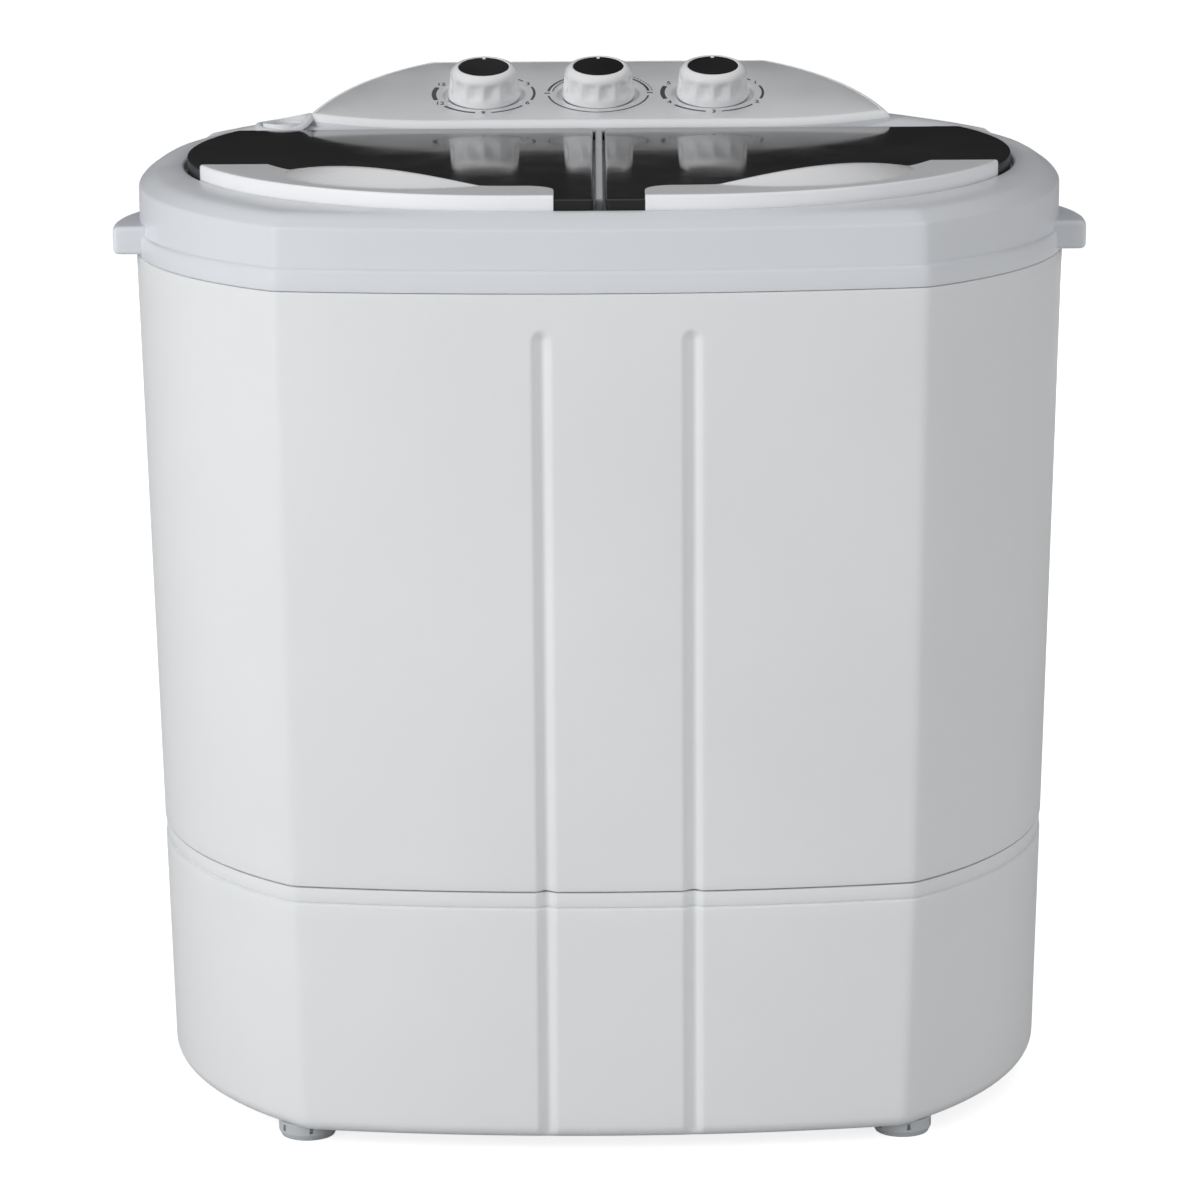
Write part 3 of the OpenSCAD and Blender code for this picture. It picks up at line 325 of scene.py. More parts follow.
# ---------------------------------------------------------------- materials
def material(name, color, rough, metallic=0.0, coat=0.0, bump=0.15, grain=900.0, depth=0.02, vary=0.03,
             rough_vary=0.05, wear_and_highlight=0.04, ior=1.5, stretch=(1, 1, 1), fleck=0.0):
    """A plastic or metal whose tone, gloss and surface vary a little. Grain and depth set its fine bumps."""
    m = bpy.data.materials.new(name)
    m.use_nodes = True
    nodes, links = m.node_tree.nodes, m.node_tree.links
    bsdf = nodes["Principled BSDF"]
    bsdf.inputs["Metallic"].default_value = metallic
    bsdf.inputs["Coat Weight"].default_value = coat
    bsdf.inputs["Coat Roughness"].default_value = 0.06
    bsdf.inputs["IOR"].default_value = ior
    coord = nodes.new("ShaderNodeTexCoord")
    mapping = nodes.new("ShaderNodeMapping")
    mapping.inputs["Scale"].default_value = stretch
    links.new(coord.outputs["Object"], mapping.inputs["Vector"])

    def noise(scale, detail=3.0, gain=0.55):
        n = nodes.new("ShaderNodeTexNoise")
        n.inputs["Scale"].default_value = scale
        n.inputs["Detail"].default_value = detail
        n.inputs["Roughness"].default_value = gain
        links.new(mapping.outputs["Vector"], n.inputs["Vector"])
        return n.outputs["Fac"]

    def ranged(value, lo, hi, a=0.3, b=0.7):
        r = nodes.new("ShaderNodeMapRange")
        r.inputs["From Min"].default_value = a
        r.inputs["From Max"].default_value = b
        r.inputs["To Min"].default_value = lo
        r.inputs["To Max"].default_value = hi
        links.new(value, r.inputs["Value"])
        return r.outputs["Result"]

    def mixed(fac, a, b):
        x = nodes.new("ShaderNodeMix")
        x.data_type = "RGBA"
        links.new(fac, x.inputs["Factor"])
        for socket, c in ((x.inputs["A"], a), (x.inputs["B"], b)):
            if isinstance(c, tuple):
                socket.default_value = (*c, 1)
            else:
                links.new(c, socket)
        return x.outputs["Result"]

    dark = tuple(c * (1 - vary) for c in color)
    light = tuple(min(1.0, c * (1 + vary) + 0.15 * vary) for c in color)
    tone = mixed(ranged(noise(7.0), 0.0, 1.0), dark, light)
    if fleck:
        bright = tuple(min(1, c * 1.35) for c in color)
        tone = mixed(ranged(noise(2600.0, 1.0), 0.0, fleck, 0.55, 0.75), tone, bright)
    # convex edges, found by pointiness, are painted lighter: partly worn edges, partly a painted highlight
    # along edges and ledges
    if wear_and_highlight:
        geo = nodes.new("ShaderNodeNewGeometry")
        edge = ranged(geo.outputs["Pointiness"], 0.0, wear_and_highlight, 0.51, 0.62)
        tone = mixed(edge, tone, tuple(min(1.0, c * 1.15 + 0.07) for c in color))
    links.new(tone, bsdf.inputs["Base Color"])
    gloss = ranged(noise(38.0, 2.0, 0.5), rough - rough_vary, rough + rough_vary)
    links.new(gloss, bsdf.inputs["Roughness"])
    bumps = nodes.new("ShaderNodeBump")
    bumps.inputs["Strength"].default_value = bump
    bumps.inputs["Distance"].default_value = depth * MM
    links.new(noise(grain, 2.0), bumps.inputs["Height"])
    links.new(bumps.outputs["Normal"], bsdf.inputs["Normal"])
    return m


# wear_and_highlight sets how much convex edges are painted lighter; the strong values on shell and rim are
# painted highlights on the corners, crown edge and ledge
LOOKS = {
    "shell": dict(color=(0.75, 0.765, 0.775), rough=0.40, coat=0.10, bump=0.22, grain=1500, depth=0.03,
                  vary=0.015, rough_vary=0.03, wear_and_highlight=0.3),
    "rim": dict(color=(0.68, 0.70, 0.735), rough=0.34, coat=0.15, bump=0.15, grain=1300, vary=0.015,
                rough_vary=0.03, wear_and_highlight=0.5),
    "trim": dict(color=(0.86, 0.87, 0.89), rough=0.34, coat=0.15, bump=0.12, grain=1300, vary=0.012,
                 rough_vary=0.03),
    # the trim's top faces: the same white as the trim, painted darker as shade
    "trim_top_shaded": dict(color=(0.60, 0.605, 0.62), rough=0.42, bump=0.15, grain=1300, vary=0.012,
                     rough_vary=0.03),
    "knob": dict(color=(0.84, 0.845, 0.86), rough=0.26, coat=0.4, bump=0.08, grain=1300, vary=0.012,
                 rough_vary=0.03),
    "silver": dict(color=(0.885, 0.895, 0.915), rough=0.40, metallic=0.92, coat=0.0, bump=0.10,
                   grain=2600, fleck=0.35),
    "lid": dict(color=(0.012, 0.0115, 0.011), rough=0.07, coat=0.0, bump=0.02, grain=500, vary=0.15,
                rough_vary=0.02, wear_and_highlight=0.02),
    "lid_edge": dict(color=(0.010, 0.010, 0.010), rough=0.35, bump=0.10, grain=1500, vary=0.1),
    "cap": dict(color=(0.003, 0.003, 0.003), rough=0.6, ior=1.08, bump=0.25, grain=2200, vary=0.2,
                wear_and_highlight=0.02),
    "ink": dict(color=(0.035, 0.036, 0.04), rough=0.55, bump=0.1, grain=3000, vary=0.2, wear_and_highlight=0.0),
    "tub": dict(color=(0.70, 0.76, 0.82), rough=0.33, coat=0.2, bump=0.15, grain=900),
    "grey": dict(color=(0.30, 0.31, 0.33), rough=0.52, bump=0.3, grain=1600),
    "motor": dict(color=(0.10, 0.105, 0.115), rough=0.45, coat=0.2, bump=0.35, grain=800, depth=0.05,
                  wear_and_highlight=0.25),
    "steel": dict(color=(0.58, 0.58, 0.59), rough=0.30, metallic=1.0, bump=0.2, grain=600,
                  stretch=(1, 1, 12), wear_and_highlight=0.1),
    "zinc": dict(color=(0.66, 0.66, 0.64), rough=0.34, metallic=1.0, bump=0.2, grain=1400, wear_and_highlight=0.15),
    "cast": dict(color=(0.50, 0.505, 0.51), rough=0.50, metallic=1.0, bump=0.5, grain=1200, depth=0.06),
    "rubber": dict(color=(0.022, 0.022, 0.023), rough=0.68, bump=0.4, grain=1500, depth=0.04, vary=0.2),
    "foot": dict(color=(0.50, 0.52, 0.54), rough=0.55, bump=0.35, grain=1200, depth=0.04, vary=0.06),
    "net": dict(color=(0.42, 0.48, 0.55), rough=0.60, bump=0.5, grain=3200, depth=0.05, vary=0.1),
    "can": dict(color=(0.66, 0.66, 0.67), rough=0.28, metallic=1.0, bump=0.15, grain=900,
                stretch=(12, 1, 1)),
}
MAT = {name: material(name, **look) for name, look in LOOKS.items()}

SLOT_LOOK = {
    "shell_white": "shell", "panel_silver": "silver", "lid_black": "lid", "trim_white": "trim",
    "knob_white": "knob", "knob_black": "cap", "tub_plastic": "tub", "grey_plastic": "grey",
    "motor_metal": "motor", "steel": "steel", "zinc_screw": "zinc", "cast_alloy": "cast",
    "rubber_black": "rubber", "foot_grey": "foot", "filter_mesh": "net", "can_silver": "can",
}
slot_of = {s["node"]: s["material_slot"] for s in frame["record"]["subparts"]}
for node_name, obj in frame["nodes"].items():
    obj.data.materials.clear()
    look = "trim" if node_name == "water_inlet" else SLOT_LOOK[slot_of[node_name]]
    obj.data.materials.append(MAT[look])

# ---------------------------------------------------------------- body shell
# Rays go out from the centre: closer at the corners, and one to each small step across the grooves.
CENTRE = (0.0, 0.0)
body_angles = spread(2.4, (-47.2, -132.8, 52.4, 127.6, 25.6, 154.4, -43.5, -136.5))
across_grooves = np.concatenate([np.arange(x - 10, x + 10.1, 0.8) for x in groove_x])
groove_angles = np.arctan2(-186.0, across_grooves)
body_angles = np.array([a for a in body_angles if np.abs(groove_angles - a).min() > math.radians(0.2)])
body_angles = np.sort(np.concatenate([body_angles, groove_angles]))


def grooved(plan, z):
    """Sinks the two front grooves into a ring."""
    half_width, deepest = 5.7, 3.0
    p = plan.copy()
    for x in groove_x:
        dist = np.hypot(p[:, 0] - x, max(0.0, z - (groove_top - 5)))
        fade = min(1.0, max(0.0, (z - base_z) / 6.0))
        depth = deepest * fade * np.clip(1 - (dist / half_width) ** 2, 0, 1) ** 2
        p[:, 1] += np.where(p[:, 1] < -100, depth, 0)
    return p


def body_ring(z, inset):
    plan = ray_ring(body_plan(side_radius(z), front_reach(z)), CENTRE, body_angles, inset)
    return at(grooved(plan, z), z)


# Rows of height and inset: up the outside of the cabinet, over its rim and down the inside.
rows = [(cab_z + 0.9, 1.5), (cab_z, 1.0), (cab_z, 0.5), (cab_z + 0.15, 0.14), (cab_z + 0.6, 0.0)]
rows += [(z, 0.0) for z in (150, 170, 210, 260, 320, 380, 415)]
rows += [(z, 0.0) for z in np.arange(424, 441.5, 1.1)]
rows += [(448, 0.0), (rim_z - 1.0, 0.0), (rim_z - 0.4, 0.1), (rim_z - 0.1, 0.5), (rim_z, 1.0)]
rows += [(rim_z, 2.5), (380, 2.5), (260, 2.5), (cab_z + 0.9, 2.5)]
cabinet_skin = loft([body_ring(z, d) for z, d in rows], closed=True)
cabinet = made("cabinet_shell", cabinet_skin, MAT["shell"], smooth=30)

# The rear cover lies in a pocket, and four strips behind its edge close the pocket off.
cover_lo, cover_hi = box_mm("rear_service_cover")
gap = 0.4
pocket = turned(box_shape(cover_lo[0] - gap, cover_hi[0] + gap, cover_lo[2] - gap, cover_hi[2] + gap,
                          0, 40, r=3.0), ((0, 1, 0), (2, -1, rear + 10), (1, 1, 0)))
cut(cabinet, pocket, 30)
piece(cabinet, "machine", ["cabinet"])
strips = []
for x0, x1, z0, z1 in ((-124, -110, 166, 424), (110, 124, 166, 424), (-111, 111, 166, 180),
                       (-111, 111, 410, 424)):
    strips.append(box_shape(x0, x1, rear - 4.4, rear - 2.45, z0, z1))
piece(made("cover_seat", joined(*strips), MAT["shell"]), "machine", ())

# The base: round lower edge, outside, seam groove, tongue inside the cabinet, inside.
rows = [(base_z, 9.0)]
for degrees in range(0, 91, 10):
    a = math.radians(degrees)
    rows.append((base_z + 8 * (1 - math.cos(a)), 8 * (1 - math.sin(a))))
rows += [(z, 0.0) for z in (24, 40, 70, 100, 125)]
rows += [(seam_z - 1.4, 0.0), (seam_z - 0.9, 0.1), (seam_z - 0.5, 0.45), (seam_z - 0.1, 1.3),
         (seam_z + 0.2, 1.3), (seam_z + 0.7, 0.75), (seam_z + 1.4, 0.5), (cab_z - 1.5, 0.5),
         (cab_z - 1.0, 0.65), (cab_z - 0.8, 1.3), (cab_z - 0.8, 2.85), (cab_z + 6, 2.85), (cab_z + 6, 5.6),
         (cab_z - 5, 5.8), (60, 6.6), (12, 7.4)]
base_skin = loft([body_ring(z, d) for z, d in rows], cap_first=True, cap_last=True)
base = made("base_shell", base_skin, MAT["shell"], smooth=30)

# Through the base: the seats of the outlet and the gland in its rear, and two rows of vents in its floor.
holes = []
for node_name, seat_r in (("drain_outlet", 17.7), ("cord_gland", 9.0)):
    lo, hi = box_mm(node_name)
    ring = disc_ring(seat_r + 0.15, 48, (lo[0] + hi[0]) / 2, (lo[2] + hi[2]) / 2)
    holes.append(turned(loft([at(ring, 0), at(ring, 16)], cap_first=True, cap_last=True),
                        ((0, 1, 0), (2, -1, rear + 6), (1, 1, 0))))
for row_x in (-20.0, 112.0):
    for i in range(-2, 3):
        x = row_x + i * 14.4
        holes.append(box_shape(x - 3, x + 3, -65, 5, base_z - 3, base_z + 5, r=2.9))
cut(base, joined(*holes), 30)
piece(base, "machine", ["base_housing"])

# ---------------------------------------------------------------- top frame
rim_outline = body_plan(side_radius(rim_z), front_reach(rim_z))


def rim_plan_ring(inset):
    return ray_ring(rim_outline, CENTRE, body_angles, inset)


def recess_ring(inset):
    return ray_ring(recess_plan, CENTRE, body_angles, inset)


def crown(plan, drop, share=1.0):
    """Height of the sloping surround: it lifts toward the rear, and most of all beside the panel's ends."""
    rise_end = 114
    y = plan[:, 1]
    plain = lid_plane(y) - drop + 3.2 * ease((y + 10) / 80) * share
    away = np.maximum(panel_plan(plan), 0)
    beside_panel = panel_plane(np.minimum(y, rise_end))
    swell = beside_panel - 1.1 - 0.19 * away - 0.05 * np.maximum(y - rise_end, 0)
    gain = swell - plain
    lift = (gain + np.sqrt(gain * gain + 1.5)) / 2 * ease((y - 55) / 45) * share
    return plain + lift


# Rings from the rim's lower edge: up the band, over the ledge, up the wall, over the crown and into
# the recess.
band_rows = [(4.6, rim_z + 0.2), (1.2, rim_z + 0.2), (0.35, rim_z + 0.35), (0.0, rim_z + 1.0),
             (0.0, ledge_z - 2.2), (0.14, ledge_z - 1.4), (0.5, ledge_z - 0.7), (1.0, ledge_z - 0.2),
             (1.6, ledge_z + 0.05), (2.0, ledge_z + 0.3), (2.15, ledge_z + 0.8)]
rings = [at(rim_plan_ring(inset), z) for inset, z in band_rows]
wall_plan = rim_plan_ring(2.1)
wall_top = crown(wall_plan, 13.6)
for share in (0.08, 0.5, 0.92, 1.0):
    rings.append(at(wall_plan, (ledge_z + 0.8) * (1 - share) + wall_top * share))
crown_inset, crown_drop, recess_drop = 11.5, 6.7, 5.0
for inset, drop in ((2.2, 12.95), (2.45, 12.4), (2.85, 11.95), (3.4, 11.55), (5.0, 10.5), (7.0, 9.05),
                    (9.5, 7.6), (crown_inset, crown_drop)):
    plan = rim_plan_ring(inset)
    rings.append(at(plan, crown(plan, drop)))
outer_plan, inner_plan = rim_plan_ring(crown_inset), recess_ring(-1.5)
for t in (0.2, 0.4, 0.6, 0.8, 1.0):
    plan = outer_plan * (1 - t) + inner_plan * t
    drop = crown_drop + (recess_drop - crown_drop) * (1 - (1 - t) ** 2)
    rings.append(at(plan, crown(plan, drop, 1 - t ** 1.6)))
for inset, drop in ((-0.8, 5.05), (-0.3, 5.3), (0.25, 5.8), (0.4, 6.4), (0.4, 9.3), (0.6, 9.8), (1.1, 10.0)):
    plan = recess_ring(inset)
    rings.append(at(plan, lid_plane(plan[:, 1]) - drop))
skin = loft(rings)
deck_edge = rings[-1]

# The deck at the bottom of the recess, with the edges of its two openings.
wash_angles = spread(5, (-150, 150, -30, 30), 8, 2)
wash_rings, spin_rings = [], []
for grow, drop in ((1.3, 10.0), (0.8, 10.05), (0.3, 10.35), (0.0, 10.9), (0.0, 12.5), (0.4, 12.9)):
    plan = ray_ring(wash_hole_plan, wash_centre, wash_angles, -grow)
    wash_rings.append(at(plan, lid_plane(plan[:, 1]) - drop))
    plan = disc_ring(spin_hole_r + grow, 96, *spin_centre)
    spin_rings.append(at(plan, lid_plane(plan[:, 1]) - drop))
deck = filled(deck_edge, [wash_rings[0], spin_rings[0]])

under_edge = at(recess_ring(-2.4), 0)
under_edge[:, 2] = lid_plane(under_edge[:, 1]) - 12.9
under = flipped(filled(under_edge, [wash_rings[-1], spin_rings[-1]]))
inner_rings = [under_edge]
for inset, z in ((14.0, None), (5.0, 486.0), (4.6, rim_z + 0.2)):
    plan = rim_plan_ring(inset)
    inner_rings.append(at(plan, lid_plane(plan[:, 1]) - 12.0 if z is None else z))
inner = loft(inner_rings)
top_skin = joined(skin, deck, flipped(loft(wash_rings)), flipped(loft(spin_rings)), under, inner)
top = made("top_frame_shell", top_skin, MAT["rim"], smooth=40)

# Round hole for the water inlet, and the opening under the panel for the three controls.
inlet_lo, inlet_hi = box_mm("water_inlet")
inlet_r = 12.0
INLET = (float(inlet_lo[0]) + inlet_r, float(inlet_hi[1]) - inlet_r)
pipe = disc_ring(12.2, 40, *INLET)
service = box_shape(-103, 103, 108, 178, 480, 520)
cut(top, joined(loft([at(pipe, 470), at(pipe, 530)], cap_first=True, cap_last=True), service), 40)
piece(top, "machine", ["top_frame"])

# Low collar round the inlet: rows of radius and height over the crown.
collar_rings = []
for r, h in ((16.8, -0.8), (16.2, 0.35), (15.2, 0.9), (14.4, 1.0), (13.7, 0.75), (13.2, 0.1), (12.7, -0.9),
             (12.2, -2.5), (12.15, -9.0)):
    plan = disc_ring(r, 48, *INLET)
    collar_rings.append(at(plan, crown(plan, 5.4) + h))
piece(made("inlet_collar", loft(collar_rings), MAT["rim"]), "machine", ())

# The rib between the lids, narrower and lower at its front end.
front_end = -156.6
rib = []
for y in (front_end, -156.2, -60, 40, 96.9):
    half, high = (1.6, 2.2) if y == front_end else (2.0, 1.5)
    low = 10.6
    z = lid_plane(y)
    rib.append(np.array([(-half, y, z - low), (-half, y, z - high - 0.6), (-half + 0.5, y, z - high),
                         (half - 0.5, y, z - high), (half, y, z - high - 0.6), (half, y, z - low)]))
rib_skin = flipped(loft(rib, cap_first=True, cap_last=True))
piece(made("lid_rib", rib_skin, MAT["foot"]), "machine", ())

# Side handles: rows of inset and height for the right one, which is mirrored for the left.
ear_rings = []
ear_angles = spread(6, (-68, 68, 180 - 73, -180 + 70, -20, 20), 6, 1.5)
for inset, z in ((4.0, 456.0), (2.0, 456.25), (0.7, 456.9), (0.1, 458.0), (0.0, 459.5), (0.0, 467.6),
                 (0.15, 469.0), (0.8, 470.2), (1.9, 470.85), (4.0, 471.0)):
    ear_rings.append(at(ray_ring(handle_plan, (244.0, -20.0), ear_angles, inset), z))
ear = loft(ear_rings, cap_first=True, cap_last=True)
for side, shape in (("right", ear), ("left", turned(ear, ((0, -1, 0), (1, 1, 0), (2, 1, 0))))):
    piece(made(f"handle_{side}", shape, MAT["rim"], smooth=45), "machine", ())

# ---------------------------------------------------------------- control panel
panel_angles = spread(2.4, (-9.6, -170.4, 28.2, 151.8), 2.5, 0.3)
PANEL = (0.0, 140.0)
COS, SIN = math.cos(panel_tilt), math.sin(panel_tilt)
panel_origin = np.array([0.0, knob_y, panel_plane(knob_y)])
dial_x = [i * knob_pitch for i in (-1, 0, 1)]


def panel_ring(inset, h):
    plan = ray_ring(panel_plan, PANEL, panel_angles, inset)
    return at(plan, panel_plane(plan[:, 1]) + h)


def on_panel(x, v, h):
    """Points in the panel's own frame: x across, v up the face, h off it."""
    x, v, h = np.broadcast_arrays(np.asarray(x, float), np.asarray(v, float), np.asarray(h, float))
    x0, y0, z0 = panel_origin
    return np.stack([x0 + x, y0 + v * COS - h * SIN, z0 + v * SIN + h * COS], -1)


def panel_circle(cx, r, h):
    steps = 72
    a = np.radians(np.arange(steps) * 360 / steps)
    return on_panel(cx + r * np.cos(a), r * np.sin(a), h)


# Housing: skirt, rounded lip, and a floor with holes for the three shafts.
foot_plan = ray_ring(panel_plan, PANEL, panel_angles, 0.0)
skirt = [at(foot_plan, lid_plane(foot_plan[:, 1]) - 7.0)]
for inset, h in ((0.0, -4.4), (0.12, -3.1), (0.5, -2.0), (1.15, -1.1), (2.0, -0.45), (3.0, -0.1), (3.7, 0.0),
                 (3.95, -0.15), (4.0, -0.5), (4.0, -2.7)):
    skirt.append(panel_ring(inset, h))
floor_part = filled(skirt[-1], [panel_circle(x, 4.7, -2.7 / COS) for x in dial_x])
skirt_faces = len(panel_angles) * (len(skirt) - 1)
# the lip's rounding and the hidden floor take the paler trim material: a painted highlight along the lip
lip_painted_highlight = [int(i // len(panel_angles) >= 2) for i in range(skirt_faces)] + [1] * len(floor_part[1])
housing = made("panel_shell", joined(loft(skirt), floor_part), [MAT["rim"], MAT["trim"]], smooth=40,
               pick=lip_painted_highlight)
piece(housing, "machine", ["panel_housing"])

# Face: a sheet with a shallow dish under each knob, as rows of radius and height.
face = [panel_ring(d, h) for d, h in ((4.15, -1.0), (4.15, -0.22), (4.3, -0.06), (4.55, 0.0))]
dish_rows = [(24.2, 0.0), (23.5, -0.08), (22.9, -0.35), (22.2, -0.9), (21.4, -1.5), (20.6, -1.85),
             (19.4, -2.0), (12.0, -2.0), (4.6, -2.0), (4.6, -2.5)]
dishes = [[panel_circle(x, r, h) for r, h in dish_rows] for x in dial_x]
face_part = filled(face[-1], [d[0] for d in dishes])
face_skin = joined(loft(face), face_part, *[flipped(loft(d)) for d in dishes])
fascia = made("panel_face", face_skin, MAT["silver"], smooth=50)
piece(fascia, "machine", ["panel_fascia"])

PRINT_LIFT = 0.05


def arc_band(cx, r, width, a0, a1):
    """Printed arc between two dial angles, clockwise from twelve o'clock; width may be a pair."""
    w0, w1 = width if isinstance(width, tuple) else (width, width)
    n = max(4, int(abs(a1 - a0) / 3))
    t = np.linspace(0, 1, n)
    a = np.radians(90 - (a0 + (a1 - a0) * t))
    w = w0 + (w1 - w0) * t
    pts = np.concatenate([on_panel(cx + edge * np.cos(a), edge * np.sin(a), PRINT_LIFT)
                          for edge in (r - w / 2, r + w / 2)])
    return pts, [(i, i + 1, n + i + 1, n + i) for i in range(n - 1)]


def digits(text, cx, r, angle):
    """A dial number as flat triangles on the panel."""
    curve = bpy.data.curves.new("digits", "FONT")
    curve.body = text
    curve.size = 6.2
    curve.align_x, curve.align_y = "CENTER", "CENTER"
    curve.resolution_u = 3
    curve.offset = 0.1
    holder = bpy.data.objects.new("digits", curve)
    bpy.context.scene.collection.objects.link(holder)
    mesh = bpy.data.meshes.new_from_object(holder.evaluated_get(bpy.context.evaluated_depsgraph_get()))
    a = math.radians(90 - angle)
    pts = np.array([v.co for v in mesh.vertices])
    out = on_panel(cx + r * math.cos(a) + pts[:, 0] * 0.86, r * math.sin(a) + pts[:, 1], PRINT_LIFT)
    faces = [tuple(p.vertices) for p in mesh.polygons]
    bpy.data.objects.remove(holder)
    bpy.data.curves.remove(curve)
    bpy.data.meshes.remove(mesh)
    return out, faces


RING = 28.4
prints = []
for cx, labels in ((-knob_pitch, ("0", "3", "6", "9", "12", "15")),
                   (knob_pitch, ("0", "1", "2", "3", "4", "5"))):
    for k, label in enumerate(labels):
        prints.append(digits(label, cx, RING, 60 * k))
    for width, a0, a1 in ((1.1, 11, 50), ((1.3, 1.6), 70, 110), (1.3, 130, 171), ((1.5, 1.7), 189, 230),
                          ((2.5, 2.7), 251, 290)):
        prints.append(arc_band(cx, RING, width, a0, a1))
for r, width, a0, a1 in ((RING, 1.1, 98, 262), (RING, (1.5, 1.1), 276, 330), (RING - 2.4, 0.7, 276, 330),
                         (RING, (1.1, 1.5), 30, 84)):
    prints.append(arc_band(0, r, width, a0, a1))
prints += [arc_band(0, RING + 2.2, 0.9, a, a + 2.2) for a in range(36, 84, 5)]
prints += [arc_band(0, RING + 0.6, 3.4, a - 1.2, a + 1.2) for a in (90, 270)]
piece(made("dial_print", joined(*prints), MAT["ink"], weld=False), "machine")

# ---------------------------------------------------------------- knobs
def knob_shape(cx):
    """Foot, fluted side, rounded shoulder, rim and seat of the cap, as radius, height and flute depth."""
    steps, flutes = 192, 12
    theta = np.radians(np.arange(steps) * 360 / steps)
    scoop = (0.5 - 0.5 * np.cos(flutes * theta)) ** 0.6

    def ring(r, h, bite):
        fluted = r - bite * scoop
        return on_panel(cx + fluted * np.cos(theta), fluted * np.sin(theta), h)

    profile = [(15.4, -1.5, 0), (19.8, -1.5, 0), (20.1, -1.2, 0), (20.15, -0.6, 0), (20.1, 0.8, 0),
               (20.0, 1.8, 0.03), (19.9, 2.8, 0.4), (19.8, 3.8, 1.0), (19.65, 5.2, 1.55), (19.5, 7.0, 1.75),
               (19.35, 8.6, 1.7), (19.25, 9.8, 1.5), (19.2, 10.6, 1.1), (19.1, 11.4, 0.6), (19.0, 12.2, 0.15),
               (18.85, 13.2, 0), (18.5, 14.1, 0), (17.9, 14.9, 0), (17.1, 15.6, 0), (16.2, 16.1, 0),
               (15.4, 16.4, 0), (14.85, 16.5, 0), (14.5, 16.47, 0), (14.3, 16.25, 0), (14.2, 15.0, 0)]
    return loft([ring(*row) for row in profile], cap_last=True)


def pointer_shape(cx):
    """The small raised bar on a knob's rim."""
    rings = []
    for h, edge in ((15.2, 0.0), (16.42, 0.0), (16.5, 0.15)):
        x, y0, y1 = 0.85 - edge, 11.4 + edge, 14.6
        rings.append(np.array([on_panel(cx + a, b, h) for a, b in ((-x, y0), (x, y0), (x, y1), (-x, y1))]))
    return loft(rings, cap_first=True, cap_last=True)


def cap_shape(cx):
    profile = [(14.1, 15.1), (14.1, 16.0), (13.95, 16.2), (13.6, 16.3), (10.0, 16.34), (5.0, 16.37),
               (1.0, 16.38)]
    return loft([panel_circle(cx, r, h) for r, h in profile], cap_last=True)


for prefix, cx, body in (("wash", -knob_pitch, "wash_timer_control"), ("selector", 0.0, "selector_control"),
                         ("spin", knob_pitch, "spin_timer_control")):
    knob = made(f"{prefix}_knob_grip", joined(knob_shape(cx), pointer_shape(cx)), MAT["knob"], smooth=50)
    piece(knob, body, [f"{prefix}_knob"])
    cap = made(f"{prefix}_knob_disc", cap_shape(cx), MAT["cap"], smooth=50)
    piece(cap, body, [f"{prefix}_knob_cap"])

# ---------------------------------------------------------------- lids
LID = (-100.0, -30.0)
lid_corners = ((-3.2, -169.2), (-3.2, 94.0), (-201, 94.0))
corners = [math.degrees(math.atan2(y - LID[1], x - LID[0])) for x, y in lid_corners]
lid_angles = spread(2.6, corners, 2.0, 0.2)


def lid_frame(pts):
    """From the lids' own frame, with z = 0 as their top plane, to the model's."""
    x, y, z = np.moveaxis(np.asarray(pts, float), -1, 0)
    c, s = math.cos(lid_tilt), math.sin(lid_tilt)
    return np.stack([x, y * c - z * s, lid_top_z + y * s + z * c], -1)


def lid_ring(inset, h, deep=None):
    """One ring of the lid at height h. With deep, it lies that low except near the rear edge."""
    plan = ray_ring(lid_plan, LID, lid_angles, inset)
    z = np.full(len(plan), h)
    if deep is not None:
        share = ease((plan[:, 1] - 70) / 8)
        z = deep * (1 - share) + h * share
    return at(plan, z)


# From the underside, round the rolled edge, to the top.
lid_rows = [(9.0, -3.0), (3.6, -3.0), (3.4, -3.0, -3.4), (3.3, -3.0, -9.3), (3.0, -3.0, -9.5),
            (0.3, -3.0, -9.5), (0.0, -2.8, -9.2), (0.0, -1.0), (0.1, -0.5), (0.35, -0.15), (0.8, 0.0),
            (3.0, 0.0)]
lid_solid = loft([lid_ring(*row) for row in lid_rows], cap_first=True, cap_last=True)


def hinge_bar(x0, x1, r):
    """Round bar on the hinge line, with its ends softened."""
    steps, edge = 24, 0.4
    a = np.radians(np.arange(steps) * 360 / steps)
    rings = []
    for x, ring_r in ((x0, r - edge), (x0 + edge, r), (x1 - edge, r), (x1, r - edge)):
        y, z = hinge_y + ring_r * np.cos(a), hinge_z + ring_r * np.sin(a)
        rings.append(np.stack([np.full(steps, x), y, z], 1))
    return loft(rings, cap_first=True, cap_last=True)


# Two lugs, each with a thinner pin that goes on into the top frame.
x_side = -lid_half - math.sqrt(band_out ** 2 - (hinge_y - lid_y) ** 2)
lugs = joined(hinge_bar(x_side + 3.5, x_side + 12, 2.9), hinge_bar(-15.2, -4.0, 2.9),
              hinge_bar(x_side - 5.8, x_side + 6, 2.3), hinge_bar(-6, -0.4, 2.3))


